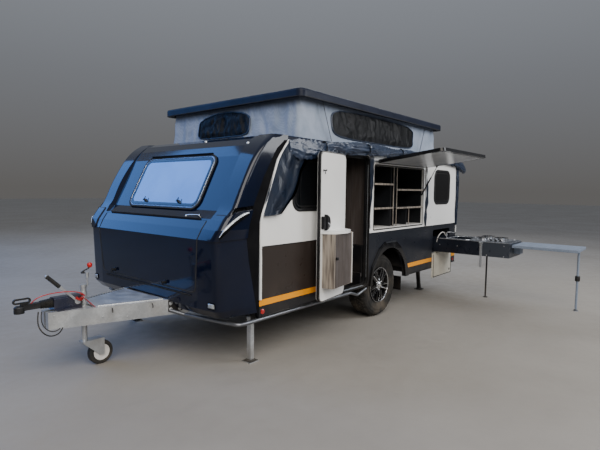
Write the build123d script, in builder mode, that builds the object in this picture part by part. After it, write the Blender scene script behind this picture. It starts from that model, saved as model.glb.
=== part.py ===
from build123d import *
import os
from math import atan2, cos, degrees, hypot, radians, sin

# Off-road caravan with a pop-top roof, a slide-out kitchen and a side galley hatch, as parked.
# Frame: the origin is the middle of the tow ball in the coupler, +X forward, +Y left, +Z up.
# Most sizes are read from the road under the middle of the axle, because that is how a trailer
# is measured: x ahead of the axle, y to the left, z above the road. The plane functions below
# place them in the part's frame. All lengths are in millimetres.

# Where the axle and the road lie
BALL_AHEAD = 3650.0     # from the axle forward to the ball
BALL_HEIGHT = 585.0     # from the road up to the ball

# Body
HALF_WIDTH = 1100.0
WALL = 30.0             # sandwich panel
REAR_X = -2240.0
SKIRT_Z = 430.0         # bottom edge of the walls
FLOOR_Z = 590.0         # top of the floor
FLOOR_THICK = 40.0
CANTRAIL_Z = 1990.0     # top edge of the walls
PANEL_JOINT_Z = 1050.0  # between the white upper panels and the dark lower ones
PANEL_JOINTS_X = [310.0, -1200.0]
ROOF_THICK = 50.0
PANEL_GAP = 5.0         # between a closed door or lid and the edge round it

# Leading edge of the side walls, from the skirt up to the roof: (x, z)
WALL_FRONT = [(2140.0, SKIRT_Z), (2134.0, 1268.0), (1926.0, 1808.0), (1782.0, CANTRAIL_Z)]

# Nose moulding, level by level: (z, front edge of the flat side, x and y of the corner,
# x of the front face, radius round the corner)
NOSE_LEVELS = [
    (480.0, 2166.0, 2500.0, 1010.0, 2520.0, 60.0),
    (545.0, 2180.0, 2556.0, 1042.0, 2574.0, 70.0),
    (1130.0, 2290.0, 2576.0, 1042.0, 2594.0, 70.0),
    (1215.0, 2274.0, 2556.0, 1084.0, 2548.0, 50.0),
    (1290.0, 2251.0, 2504.0, 1084.0, 2493.0, 45.0),
    (1370.0, 2225.0, 2434.0, 1097.0, 2436.0, 40.0),
    (1500.0, 2168.0, 2366.0, 1098.0, 2364.0, 40.0),
    (1700.0, 2065.0, 2262.0, 1098.0, 2258.0, 40.0),
    (1830.0, 1985.0, 2180.0, 1098.0, 2175.0, 40.0),
    (1920.0, 1920.0, 2108.0, 1098.0, 2103.0, 40.0),
    (1985.0, 1850.0, 2036.0, 1092.0, 2030.0, 40.0),
    (2040.0, 1796.0, 1956.0, 1070.0, 1950.0, 40.0),
]
NOSE_KNEE = 6           # levels of the ruled lower form; the shoulder above them is smooth
NOSE_FACE_Y = 815.0     # half width of the flat front face
NOSE_BACK_X = 1700.0    # the moulding reaches back to here, under the roof
NOSE_SKIN = 30.0        # at the sides and the roof
NOSE_FRONT_SKIN = 60.0

# Black band between the moulding and the side wall: its front edge, (x, z)
BAND_FRONT = [
    (2160.0, 450.0), (2262.0, 936.0), (2291.0, 1133.0), (2268.0, 1249.0), (2211.0, 1411.0),
    (2093.0, 1653.0), (1927.0, 1913.0), (1829.0, 1990.0),
]

# Recess for the front window: floor levels as (x, z), and half width of the floor
RAKE_FOOT = (2397.0, 1362.0)
RAKE_HEAD = (2150.0, 1842.0)
RECESS_FLOOR = [
    (2468.0, 1297.0), RAKE_FOOT, RAKE_HEAD, (2076.0, 1940.0), (2002.0, 2004.0), (1900.0, 2041.0),
]
RECESS_HALF = 856.0
FRONT_WINDOW = (1150.0, 545.0)  # width and height along the rake
FRONT_WINDOW_RISE = 276.0       # from the foot of the rake up to its middle
FRONT_WINDOW_CORNER = 90.0
FRONT_WINDOW_THICK = 34.0
FRONT_WINDOW_PROUD = 14.0       # above the recess floor

# Pods on the shoulders of the nose, side view (x, z), and the vent slot over each
POD = [(2660.0, 1118.0), (2505.0, 1322.0), (2385.0, 1358.0), (2203.0, 1378.0), (2284.0, 1141.0)]
POD_INNER_Y = 930.0
POD_PROUD = 12.0
POD_VENT = [(2501.0, 1332.0), (2404.0, 1393.0), (2211.0, 1411.0), (2204.0, 1384.0), (2385.0, 1364.0)]
VENT_DEEP = 14.0
LIGHT_BAR = ((2574.0, 1160.0), (2262.0, 1332.0), 13.0)  # ends (x, z) and half width
LIGHT_PROUD = 10.0
FRONT_LAMP = (1005.0, 590.0)    # (y, z) of the small lamp low in the nose
FRONT_LAMP_SIZE = (70.0, 46.0)

# Storage hatch in the nose
HATCH_HALF_HEAD = 832.0
HATCH_HALF_FOOT = 787.0
HATCH_FOOT_Z = 683.0
HATCH_HEAD_Z = 1283.0
HATCH_CORNER = 60.0
HATCH_PIN = (2498.0, 1294.0)    # (x, z) of the hinge pin
HATCH_PIN_Y = (-740.0, 740.0)
HATCH_KNUCKLE = 6.0     # radius of the barrels of the long hinges

# Doorway and door. The door hangs on its front edge and is folded back against the wall.
DOORWAY_X = (372.0, 926.0)
DOORWAY_Z = (452.0, 1923.0)
DOORWAY_CORNER = 70.0
FRAME_WIDE = 16.0       # flange of the door frame on the wall
FRAME_PROUD = 6.0
DOOR_HINGE = (930.0, HALF_WIDTH + 14.0)     # (x, y) of its pin
DOOR_OPEN = 171.5       # degrees from shut
DOOR_THICK = 35.0
DOOR_OUTER = 11.0       # from the pin's middle to the door's outer face
STEP_Z = 445.0          # floor of the step well behind the doorway
STEP_X = (430.0, 905.0)
STEP_Y = (670.0, HALF_WIDTH - 55.3)
JAMB_X = (392.0, 905.0)     # clear opening inside the rebate that the door shuts into
JAMB_Z = (470.0, 1905.0)
JAMB_Y = (HALF_WIDTH - 55.0, HALF_WIDTH - 37.0)
TYRE_CLEAR = 400.0          # radius kept clear round the wheel

# Windows in the side walls: (x from, x to, z from, z to)
SIDE_WINDOWS = [(980.0, 1700.0, 1360.0, 1850.0), (-1930.0, -1400.0, 1370.0, 1840.0)]
SIDE_WINDOW_CORNER = 95.0
WINDOW_THICK = 24.0

# Galley hatch: top-hinged, over an outside kitchen bay
GALLEY_X = (-1040.0, 260.0)
GALLEY_Z = (1090.0, 1840.0)
GALLEY_CORNER = 8.0
GALLEY_LID_CORNER = 60.0
GALLEY_DEEP = 340.0
GALLEY_HINGE = (HALF_WIDTH + 22.0, 1880.0)  # (y, z) of its pin
GALLEY_OPEN = 97.7      # degrees from shut
GALLEY_LONG = 815.0     # from the pin to the free edge
GALLEY_THICK = 35.0
GALLEY_OVERLAP = 22.0   # round the bay's opening
GALLEY_LID_EDGE = 38.0  # raised frame round the hatch's inner face
LID_RECESS = 8.0

# Slide-out kitchen drawer, its bay and the flap below it
BAY_X = (-2010.0, -1400.0)
BAY_Z = (665.0, 985.0)
DRAWER_X = (-1985.0, -1425.0)
DRAWER_Y = (HALF_WIDTH - 80.0, 2150.0)
DRAWER_Z = (675.0, 870.0)
DRAWER_OUT = 1050.0     # how far it is run out
FLAP_LONG = 365.0
FLAP_THICK = 25.0
FLAP_HINGE = (HALF_WIDTH + 16.0, 655.0)     # (y, z) of its pin
PROP_AT = (-1950.0, 1700.0)         # (x, y) of the prop under the drawer
TABLE_X = (-2000.0, -1450.0)
TABLE_Y = (2170.0, 2930.0)
TABLE_Z = 850.0         # top
TABLE_THICK = 22.0
TABLE_LEG = (-1950.0, 2860.0)

# Pop-top roof
LID_X = (-1600.0, 1600.0)
LID_HALF = HALF_WIDTH
LID_TOP_Z = 2505.0
LID_RIM = 80.0
LID_CORNER = 70.0
LID_DROP = 375.0
CANVAS_THICK = 6.0
CANVAS_FOOT = (1560.0, 1040.0)      # half length and half width at the roof
CANVAS_HEAD = (1520.0, 1010.0)
ROOF_OPENING = (1500.0, 980.0)

# Chassis
RAIL_Z = (410.0, 550.0)
RAIL_WIDE = 50.0
RAIL_OUTER_Y = 430.0
RAIL_BEND_X = 2420.0
RAIL_TIP = (3467.0, 67.0)           # (x, y) of the outer corner at the coupler
BUMPER_GAP = 30.0       # between the rear wall and the bumper tube
BUMPER_HALF = 960.0
BUMPER_Z = (362.0, 432.0)
CROSS_WIDE = 40.0
CROSS_Z = (470.0, 549.7)
CROSS_X = [-2150.0, -1330.0, -620.0, 620.0, 1300.0, 2000.0]

# Running gear
TYRE_RADIUS = 387.0
TYRE_WIDE = 245.0
WHEEL_FACE_Y = HALF_WIDTH - 40.0
RIM_RADIUS = 220.0
HUB_BORE = 30.0

# Nose wheel and coupler
JOCKEY_X = 3155.0
JOCKEY_TUBE = 30.0
JOCKEY_STEM = 24.0
JOCKEY_WHEEL_X = 3020.0
JOCKEY_WHEEL = 105.0
BALL_SOCKET = 25.3

# Corner steadies: (name, x of pivot, x of foot, y, z of pivot)
STEADIES = [
    ("front_left", 2110.0, 2110.0, 960.0, 400.0),
    ("front_right", 2110.0, 2110.0, -960.0, 400.0),
    ("rear_left", -1700.0, -1780.0, 730.0, 400.0),
    ("rear_right", -1700.0, -1780.0, -730.0, 400.0),
]
STEADY_SQUARE = 50.0
STEADY_FOOT = 110.0
STEADY_PIN = 10.0

RUN = 0.3               # clearance of a pin or of pieces that slide on each other

os.makedirs("parts", exist_ok=True)
pieces = {}


def road_plane(z):
    """Looking down at the caravan from a height above the road: sketch x forward, y left."""
    return Plane(origin=(-BALL_AHEAD, 0, z - BALL_HEIGHT))


def side_plane(y):
    """Upright plane along the caravan: sketch x forward, y above the road, normal to the right."""
    return Plane(origin=(-BALL_AHEAD, y, -BALL_HEIGHT), x_dir=(1, 0, 0), z_dir=(0, -1, 0))


def cross_plane(x):
    """Upright plane across the caravan: sketch x left, y above the road, normal forward."""
    return Plane(origin=(x - BALL_AHEAD, 0, -BALL_HEIGHT), x_dir=(0, 1, 0), z_dir=(1, 0, 0))


def spot(x, y, z):
    """A point given from the axle and the road."""
    return (x - BALL_AHEAD, y, z - BALL_HEIGHT)


def block(x, y, z, mode=Mode.ADD):
    """A plain block between two stations, two offsets to the left and two heights."""
    middle = spot((x[0] + x[1]) / 2, (y[0] + y[1]) / 2, (z[0] + z[1]) / 2)
    with Locations(middle):
        Box(x[1] - x[0], y[1] - y[0], z[1] - z[0], mode=mode)


def rounded_window(x, z, corner, grow=0.0, mode=Mode.ADD):
    """A rounded rectangle in a side sketch, between two stations and two heights."""
    with Locations(((x[0] + x[1]) / 2, (z[0] + z[1]) / 2)):
        RectangleRounded(x[1] - x[0] + 2 * grow, z[1] - z[0] + 2 * grow, corner + grow, mode=mode)


def bar(a, b, half):
    """A round-ended bar between two points of a sketch."""
    run = (b[0] - a[0], b[1] - a[1])
    with Locations(((a[0] + b[0]) / 2, (a[1] + b[1]) / 2)):
        SlotCenterToCenter(hypot(*run), 2 * half, rotation=degrees(atan2(run[1], run[0])))


def cross_pin(x, y, z, radius, length, mode=Mode.ADD):
    """A cylinder across the caravan, about a point."""
    with Locations(Location(spot(x, y, z), (90, 0, 0))):
        Cylinder(radius, length, mode=mode)


def long_pin(x, y, z, radius, length, mode=Mode.ADD):
    """A cylinder along the caravan, about a point."""
    with Locations(Location(spot(x, y, z), (0, 90, 0))):
        Cylinder(radius, length, mode=mode)


def post(x, y, z, radius, mode=Mode.ADD):
    """An upright cylinder between two heights."""
    with Locations(spot(x, y, (z[0] + z[1]) / 2)):
        Cylinder(radius, z[1] - z[0], mode=mode)


def finish(name, builder):
    """Label a finished piece and keep it for writing."""
    builder.part.label = name
    pieces[name] = builder


# Chassis: two rails that converge into the drawbar
def rail_outline(side):
    """Plan of one rail, from the tail to the coupler."""
    tip_x, tip_y = RAIL_TIP
    inner = RAIL_OUTER_Y - RAIL_WIDE
    points = [
        (REAR_X + 40, RAIL_OUTER_Y),
        (RAIL_BEND_X, RAIL_OUTER_Y),
        (tip_x, tip_y),
        (tip_x, tip_y - RAIL_WIDE * 1.06),
        (RAIL_BEND_X - RAIL_WIDE * 0.17, inner),
        (REAR_X + 40, inner),
    ]
    return [(x, side * y) for x, y in points]


def rail_inner_y(x):
    """Offset of the drawbar's inner face at a station ahead of its bend."""
    points = rail_outline(1)
    (x0, y0), (x1, y1) = points[4], points[3]
    return y0 + (y1 - y0) * (x - x0) / (x1 - x0)


with BuildPart() as rails:
    for side in (1, -1):
        with BuildSketch(road_plane(RAIL_Z[0])):
            Polygon(*rail_outline(side), align=None)
        extrude(amount=RAIL_Z[1] - RAIL_Z[0])
        stub = sorted((side * (RAIL_OUTER_Y - RAIL_WIDE), side * RAIL_OUTER_Y))
        block((REAR_X - BUMPER_GAP, REAR_X + 60), stub, (RAIL_Z[0] - 40, SKIRT_Z - 8))
    block((REAR_X - BUMPER_GAP - 60, REAR_X - BUMPER_GAP), (-BUMPER_HALF, BUMPER_HALF), BUMPER_Z)
finish("chassis_rails", rails)

# Cross members between the rails, and outriggers from the rails to the walls
BRACKET_X = (2455.0, 2572.0)    # bolted plates on the outer faces of the drawbar
BRACKET_Z = (438.0, 540.0)
BRACKET_THICK = 9.0
with BuildPart() as members:
    rail_inner = RAIL_OUTER_Y - RAIL_WIDE
    rail_outer = [(x, rail_inner_y(x) + RAIL_WIDE * 1.06) for x in BRACKET_X]
    reach = HALF_WIDTH - WALL - RUN
    for x in CROSS_X:
        web = (x - CROSS_WIDE / 2, x + CROSS_WIDE / 2)
        under_step = STEP_X[0] - 100 < x < STEP_X[1] + 100
        block(web, (-rail_inner, rail_inner), CROSS_Z)
        block(web, (RAIL_OUTER_Y, STEP_Y[0] - 5 if under_step else reach), CROSS_Z)
        block(web, (-reach, -RAIL_OUTER_Y), CROSS_Z)
    for name, pivot_x, foot_x, y, pivot_z in STEADIES:
        half = STEADY_SQUARE / 2
        for ear in (half + 3, -half - 9):
            block((pivot_x - 26, pivot_x + 26), (y + ear, y + ear + 6), (pivot_z - 25, CROSS_Z[1]))
        cross_pin(pivot_x, y, pivot_z, STEADY_PIN, STEADY_SQUARE + 8)
    for side in (1, -1):
        with BuildSketch(road_plane(BRACKET_Z[0])):
            Polygon(*[(x, side * (y + BRACKET_THICK)) for x, y in rail_outer[::-1]],
                    *[(x, side * (y + RUN)) for x, y in rail_outer], align=None)
        extrude(amount=BRACKET_Z[1] - BRACKET_Z[0])
finish("cross_members", members)

DRAWBAR_DECK = [(2600.0, 345.0), (3120.0, 160.0)]   # (x, half width)
DECK_THICK = 5.0
with BuildPart() as deck:
    with BuildSketch(road_plane(RAIL_Z[1])):
        (back_x, back_half), (front_x, front_half) = DRAWBAR_DECK
        Polygon((back_x, back_half), (front_x, front_half), (front_x, -front_half),
                (back_x, -back_half), align=None)
    extrude(amount=DECK_THICK)
finish("drawbar_deck", deck)

# Coupler: a ball socket with a collar, on the overrun shaft
SHAFT_Z = 612.0
SHAFT_RADIUS = 25.0
HOUSING_X = (3195.0, 3410.0)
HOUSING_HALF = 45.0
HOUSING_TOP_Z = 655.0
BELLOWS_X = (3410.0, 3505.0)
HANDLE_WIDE = 14.0
SOCKET_Z = (BALL_HEIGHT - 14.0, BALL_HEIGHT + 24.0)
with BuildPart() as coupler:
    post(BALL_AHEAD, 0, (SOCKET_Z[0], BALL_HEIGHT + 42.0), 37.0)
    fillet(coupler.edges().group_by(Axis.Z)[-1], 14)
    block((BELLOWS_X[1], BALL_AHEAD - 20), (-26, 26), (SHAFT_Z - 22, SHAFT_Z + 22))
    with BuildSketch(side_plane(HANDLE_WIDE / 2)):
        with Locations((BALL_AHEAD - 20, BALL_HEIGHT + 78)):
            SlotOverall(130, 44)
            SlotOverall(102, 18, mode=Mode.SUBTRACT)
    extrude(amount=HANDLE_WIDE)
    block((BALL_AHEAD - 60, BALL_AHEAD - 10), (-10, 10), (BALL_HEIGHT + 35, BALL_HEIGHT + 60))
    post(BALL_AHEAD, 0, SOCKET_Z, BALL_SOCKET, mode=Mode.SUBTRACT)
finish("coupling_head", coupler)

with BuildPart() as bellows:
    folds = 5
    pitch = (BELLOWS_X[1] - BELLOWS_X[0]) / folds
    with BuildSketch(side_plane(0)):
        with BuildLine():
            edge = [(BELLOWS_X[0], SHAFT_Z + 28)]
            for k in range(folds):
                edge.append((BELLOWS_X[0] + (k + 0.5) * pitch, SHAFT_Z + 40))
                edge.append((BELLOWS_X[0] + (k + 1) * pitch, SHAFT_Z + 28))
            Polyline(*edge, (BELLOWS_X[1], SHAFT_Z), (BELLOWS_X[0], SHAFT_Z), close=True)
        make_face()
    revolve(axis=Axis(spot(0, 0, SHAFT_Z), (1, 0, 0)))
finish("bellows", bellows)

with BuildPart() as overrun:
    block(HOUSING_X, (-HOUSING_HALF, HOUSING_HALF), (RAIL_Z[1], HOUSING_TOP_Z))
    fillet(overrun.edges().filter_by(Axis.X).group_by(Axis.Z)[-1], 18)
    block((HOUSING_X[0] + 15, HOUSING_X[1] - 10), (-90, 90), (RAIL_Z[1], RAIL_Z[1] + 10))
finish("overrun_housing", overrun)

LEVER_FOOT = (3225.0, 600.0)    # (x, z)
LEVER_TIP = (3462.0, 838.0)
with BuildPart() as lever:
    with BuildSketch(side_plane(HOUSING_HALF + 9)):
        bar(LEVER_FOOT, LEVER_TIP, 9)
        with Locations(LEVER_FOOT):
            Circle(24)
    extrude(amount=8.7)
    with BuildSketch(side_plane(HOUSING_HALF + 14)):
        grip_from = [tip - 0.45 * (tip - foot) for tip, foot in zip(LEVER_TIP, LEVER_FOOT)]
        bar(grip_from, LEVER_TIP, 13)
    extrude(amount=18)
finish("handbrake_lever", lever)

# Nose wheel: an outer tube clamped between the rails, a stem that slides in it, and a castor
CLAMP_X = (JOCKEY_X - 26.0, JOCKEY_X + 26.0)
TUBE_Z = (425.0, 665.0)
STEM_Z = (236.0, 700.0)
with BuildPart() as clamp:
    with BuildSketch(road_plane(490)):
        ends = [(x, rail_inner_y(x) - RUN) for x in CLAMP_X]
        Polygon(*ends, *[(x, -y) for x, y in reversed(ends)], align=None)
    extrude(amount=50)
    post(JOCKEY_X, 0, TUBE_Z, JOCKEY_TUBE)
    post(JOCKEY_X, 0, TUBE_Z, JOCKEY_STEM + RUN, mode=Mode.SUBTRACT)
finish("jockey_clamp", clamp)

with BuildPart() as stem:
    post(JOCKEY_X, 0, STEM_Z, JOCKEY_STEM)
    post(JOCKEY_X, 0, (STEM_Z[1], STEM_Z[1] + 25), 27)
    block((JOCKEY_X - 35, JOCKEY_X), (-6, 6), (STEM_Z[1] + 8, STEM_Z[1] + 20))
    post(JOCKEY_X - 35, 0, (STEM_Z[1] + 8, STEM_Z[1] + 80), 7)
    post(JOCKEY_X - 35, 0, (STEM_Z[1] + 80, STEM_Z[1] + 125), 14)
finish("jockey_stem", stem)

FORK_PIVOT = 10.0
FORK_CHEEK = 8.0
JOCKEY_WHEEL_WIDE = 60.0
AXLE_PIN = 8.0
cheek_y = JOCKEY_WHEEL_WIDE / 2 + 6
with BuildPart() as fork:
    crown_z = (STEM_Z[0] - 14.3, STEM_Z[0] - RUN)
    block((JOCKEY_WHEEL_X - 20, JOCKEY_X + 30), (-cheek_y - FORK_CHEEK, cheek_y + FORK_CHEEK), crown_z)
    for side in (1, -1):
        with BuildSketch(side_plane(side * cheek_y + (FORK_CHEEK if side > 0 else 0))):
            with BuildLine():
                Polyline((JOCKEY_X + 30, crown_z[0]), (JOCKEY_WHEEL_X + 18, JOCKEY_WHEEL - 18),
                         (JOCKEY_WHEEL_X - 18, JOCKEY_WHEEL - 18), (JOCKEY_WHEEL_X - 20, crown_z[0]),
                         close=True)
            make_face()
        extrude(amount=FORK_CHEEK)
    cross_pin(JOCKEY_WHEEL_X, 0, JOCKEY_WHEEL, AXLE_PIN, 2 * cheek_y)
finish("jockey_fork", fork)

with BuildPart() as nose_wheel:
    cross_pin(JOCKEY_WHEEL_X, 0, JOCKEY_WHEEL, JOCKEY_WHEEL, JOCKEY_WHEEL_WIDE)
    fillet(nose_wheel.edges().filter_by(GeomType.CIRCLE), 14)
    cross_pin(JOCKEY_WHEEL_X, 0, JOCKEY_WHEEL, AXLE_PIN + RUN, 100, mode=Mode.SUBTRACT)
finish("jockey_wheel", nose_wheel)

# Axle and trailing arms
AXLE_Z = TYRE_RADIUS
ARM_PIVOT = (450.0, 380.0)      # (x, z)
ARM_Y = (560.0, 640.0)
STUB_Y = WHEEL_FACE_Y - 48.0
DRUM_Y = (WHEEL_FACE_Y - 190.0, WHEEL_FACE_Y - 110.0)
DRUM_RADIUS = 135.0
SPRING_X = 170.0
SPRING_RADIUS = 52.0
SPRING_FOOT_Z = 436.0
with BuildPart() as arms:
    cross_pin(ARM_PIVOT[0], 0, ARM_PIVOT[1], 30, 2 * ARM_Y[1] + 20)
    for side in (1, -1):
        plane_y = ARM_Y[1] if side > 0 else -ARM_Y[0]
        with BuildSketch(side_plane(plane_y)):
            bar((0, AXLE_Z), ARM_PIVOT, 42)
        extrude(amount=ARM_Y[1] - ARM_Y[0])
        block((ARM_PIVOT[0] - 30, ARM_PIVOT[0] + 30), sorted((side * (RAIL_OUTER_Y - 60), side * RAIL_OUTER_Y)),
              (ARM_PIVOT[1] - 20, RAIL_Z[0]))
        post(SPRING_X, side * sum(ARM_Y) / 2, (AXLE_Z, SPRING_FOOT_Z), SPRING_RADIUS + 8)
        cross_pin(0, side * (ARM_Y[1] + STUB_Y) / 2, AXLE_Z, HUB_BORE - RUN, STUB_Y - ARM_Y[1])
        cross_pin(0, side * (DRUM_Y[0] + ARM_Y[1]) / 2, AXLE_Z, 45, DRUM_Y[0] - ARM_Y[1])
        cross_pin(0, side * (DRUM_Y[0] + DRUM_Y[1]) / 2, AXLE_Z, DRUM_RADIUS, DRUM_Y[1] - DRUM_Y[0])
finish("trailing_arms", arms)

with BuildPart() as springs:
    for side in (1, -1):
        middle_y = side * (ARM_Y[0] + ARM_Y[1]) / 2
        post(SPRING_X, middle_y, (SPRING_FOOT_Z + RUN, FLOOR_Z - FLOOR_THICK - RUN), SPRING_RADIUS)
finish("coil_springs", springs)


# Road wheels
def wheel_axis():
    return Axis(spot(0, 0, AXLE_Z), (0, 1, 0))


TYRE_INNER = RIM_RADIUS - 8.0
SPOKES = 5
SPOKE_ANGLE = 51.0      # of the first split spoke
for name, side in (("left", 1), ("right", -1)):
    face = WHEEL_FACE_Y
    back = WHEEL_FACE_Y - TYRE_WIDE
    with BuildPart() as tyre:
        with BuildSketch(cross_plane(0)):
            with BuildLine():
                top = AXLE_Z + TYRE_RADIUS
                bead = AXLE_Z + TYRE_INNER
                points = [(back + 22, bead), (face - 22, bead), (face - 12, top - 34), (face - 34, top),
                          (back + 34, top), (back + 12, top - 34)]
                points = [(side * y, z) for y, z in points]
                Line(points[0], points[1])
                ThreePointArc(points[1], (side * face, AXLE_Z + 290), points[2])
                Line(points[2], points[3])
                Line(points[3], points[4])
                Line(points[4], points[5])
                ThreePointArc(points[5], (side * back, AXLE_Z + 290), points[0])
            make_face()
        revolve(axis=wheel_axis())
    finish(f"tyre_{name}", tyre)

    with BuildPart() as rim:
        with BuildSketch(cross_plane(0)):
            with BuildLine():
                section = [(face - 14, TYRE_INNER - RUN), (face - 14, RIM_RADIUS - 22),
                           (face - 50, RIM_RADIUS - 34), (back + 30, RIM_RADIUS - 34),
                           (back + 24, TYRE_INNER - RUN)]
                Polyline(*[(side * y, AXLE_Z + r) for y, r in section], close=True)
            make_face()
        revolve(axis=wheel_axis())
        with BuildSketch(side_plane(side * face - (26 if side > 0 else -52))):
            with Locations((0, AXLE_Z)):
                Circle(RIM_RADIUS - 30)
                with PolarLocations(0, SPOKES, start_angle=SPOKE_ANGLE + 180 / SPOKES):
                    with BuildSketch(mode=Mode.PRIVATE) as pocket:
                        Polygon((74, -13), (170, -66), (188, 0), (170, 66), (74, 13), align=None)
                        fillet(pocket.vertices(), 7)
                    add(pocket.sketch, mode=Mode.SUBTRACT)
                with PolarLocations(0, SPOKES, start_angle=SPOKE_ANGLE):
                    with BuildSketch(mode=Mode.PRIVATE) as split_slot:
                        Polygon((84, -5), (180, -25), (190, 0), (180, 25), (84, 5), align=None)
                        fillet(split_slot.vertices(), 4)
                    add(split_slot.sketch, mode=Mode.SUBTRACT)
        extrude(amount=26)
        boss = (face - 110, face - 20)
        cross_pin(0, side * sum(boss) / 2, AXLE_Z, 64, boss[1] - boss[0])
        bore = (face - 120, face - 40)
        cross_pin(0, side * sum(bore) / 2, AXLE_Z, HUB_BORE, bore[1] - bore[0], mode=Mode.SUBTRACT)
    finish(f"rim_{name}", rim)

# Floor, with the step well behind the doorway and the two wheel boxes
WHEEL_BOX_X = (-520.0, 420.0)
WHEEL_BOX_Y = WHEEL_FACE_Y - 295.0
WHEEL_BOX_Z = 905.0
BOX_WALL = 15.0
inside_y = HALF_WIDTH - WALL
with BuildPart() as floor:
    slab_z = (FLOOR_Z - FLOOR_THICK, FLOOR_Z)
    block((REAR_X + WALL, WALL_FRONT[0][0] - 5), (-inside_y, inside_y), slab_z)
    block(STEP_X, (STEP_Y[0], inside_y), slab_z, mode=Mode.SUBTRACT)
    block((DOORWAY_X[0] - 10, DOORWAY_X[1] + 10), (STEP_Y[1], inside_y), slab_z, mode=Mode.SUBTRACT)
    for side in (1, -1):
        wide = sorted((side * WHEEL_BOX_Y, side * inside_y))
        block(WHEEL_BOX_X, wide, slab_z, mode=Mode.SUBTRACT)
finish("floor", floor)

with BuildPart() as boxes:
    for side in (1, -1):
        wide = sorted((side * WHEEL_BOX_Y, side * inside_y))
        hollow = sorted((side * (WHEEL_BOX_Y + BOX_WALL), side * inside_y))
        block(WHEEL_BOX_X, wide, (FLOOR_Z - FLOOR_THICK, WHEEL_BOX_Z))
        block((WHEEL_BOX_X[0] + BOX_WALL, WHEEL_BOX_X[1] - BOX_WALL), hollow,
              (FLOOR_Z - FLOOR_THICK, WHEEL_BOX_Z - BOX_WALL), mode=Mode.SUBTRACT)
    block((DOORWAY_X[0] - 20, DOORWAY_X[0] + 100), (JAMB_Y[0] - RUN, inside_y), (500, 1000), mode=Mode.SUBTRACT)
finish("wheel_boxes", boxes)

with BuildPart() as step:
    block(STEP_X, STEP_Y, (STEP_Z - 12, FLOOR_Z))
    block((STEP_X[0] + 12, STEP_X[1] - 12), (STEP_Y[0] + 12, STEP_Y[1]), (STEP_Z, FLOOR_Z + 1),
          mode=Mode.SUBTRACT)
finish("step_well", step)

# Side walls
ARCH = (-115.0, SKIRT_Z)        # (x, z) of the middle of the wheel arch
ARCH_RADIUS = 415.0
FLARE_PROUD = 28.0
for name, side in (("left", 1), ("right", -1)):
    plane_y = HALF_WIDTH if side > 0 else -HALF_WIDTH + WALL
    with BuildPart() as wall:
        with BuildSketch(side_plane(plane_y)):
            outline = [(REAR_X, SKIRT_Z), *WALL_FRONT, (REAR_X, CANTRAIL_Z)]
            Polygon(*outline, align=None)
            with Locations(ARCH):
                Circle(ARCH_RADIUS + 6, mode=Mode.SUBTRACT)
        extrude(amount=WALL)
        with BuildSketch(side_plane(plane_y)):
            for x0, x1, z0, z1 in SIDE_WINDOWS:
                rounded_window((x0, x1), (z0, z1), SIDE_WINDOW_CORNER)
            if side > 0:
                rounded_window(GALLEY_X, GALLEY_Z, GALLEY_CORNER)
                rounded_window(BAY_X, BAY_Z, 30)
                rounded_window((DOORWAY_X[0] - 8, DOORWAY_X[1] + 8), (SKIRT_Z - 100, DOORWAY_Z[1] + 8),
                               DOORWAY_CORNER)
        extrude(amount=WALL, mode=Mode.SUBTRACT)
        joint = (plane_y - WALL - 1, plane_y + 1)
        block((REAR_X - 1, 2300), joint, (PANEL_JOINT_Z, PANEL_JOINT_Z + RUN), mode=Mode.SUBTRACT)
        for x in PANEL_JOINTS_X:
            block((x, x + RUN), joint, (SKIRT_Z - 1, CANTRAIL_Z + 1), mode=Mode.SUBTRACT)
    finish(f"wall_{name}", wall)

with BuildPart() as rear:
    block((REAR_X, REAR_X + WALL), (-inside_y + RUN, inside_y - RUN), (SKIRT_Z, CANTRAIL_Z))
finish("wall_rear", rear)

with BuildPart() as roof:
    block((REAR_X, WALL_FRONT[-1][0]), (-HALF_WIDTH, HALF_WIDTH), (CANTRAIL_Z, CANTRAIL_Z + ROOF_THICK))
    fillet(roof.edges().group_by(Axis.Z)[-1].filter_by(Axis.X), 22)
    fillet(roof.edges().filter_by(Axis.Y).sort_by(Axis.X)[:2].sort_by(Axis.Z)[-1:], 30)
    block((-ROOF_OPENING[0], ROOF_OPENING[0]), (-ROOF_OPENING[1], ROOF_OPENING[1]),
          (CANTRAIL_Z, CANTRAIL_Z + ROOF_THICK), mode=Mode.SUBTRACT)
finish("roof_deck", roof)

# Wheel arch flares, faceted, with a mud flap behind each wheel
FLARE = [(-625.0, 430.0), (-560.0, 660.0), (-395.0, 850.0), (-270.0, 925.0), (-10.0, 925.0), (130.0, 850.0),
         (290.0, 660.0), (350.0, 430.0)]
FLAP_RUBBER_X = (WHEEL_BOX_X[0] - 8.3, WHEEL_BOX_X[0] - RUN)
with BuildPart() as flares:
    for side in (1, -1):
        plane_y = HALF_WIDTH + FLARE_PROUD if side > 0 else -HALF_WIDTH
        with BuildSketch(side_plane(plane_y)):
            Polygon(*FLARE, align=None)
            with Locations(ARCH):
                Circle(ARCH_RADIUS, mode=Mode.SUBTRACT)
            with Locations((DOORWAY_X[0] - FRAME_WIDE - 1 + 100, SKIRT_Z + 300)):
                Rectangle(200, 600, mode=Mode.SUBTRACT)
        extrude(amount=FLARE_PROUD)
        outer = flares.faces().filter_by(Axis.Y).sort_by(Axis.Y)[-1 if side > 0 else 0]
        chamfer(outer.edges().filter_by(GeomType.LINE).sort_by(Axis.Z)[-5:], 16)
    for side in (1, -1):
        rubber_y = (side * (WHEEL_BOX_Y + 60), side * (HALF_WIDTH - WALL - 6))
        block(FLAP_RUBBER_X, sorted(rubber_y), (240, SKIRT_Z - 8))
finish("wheel_flares", flares)


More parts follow.
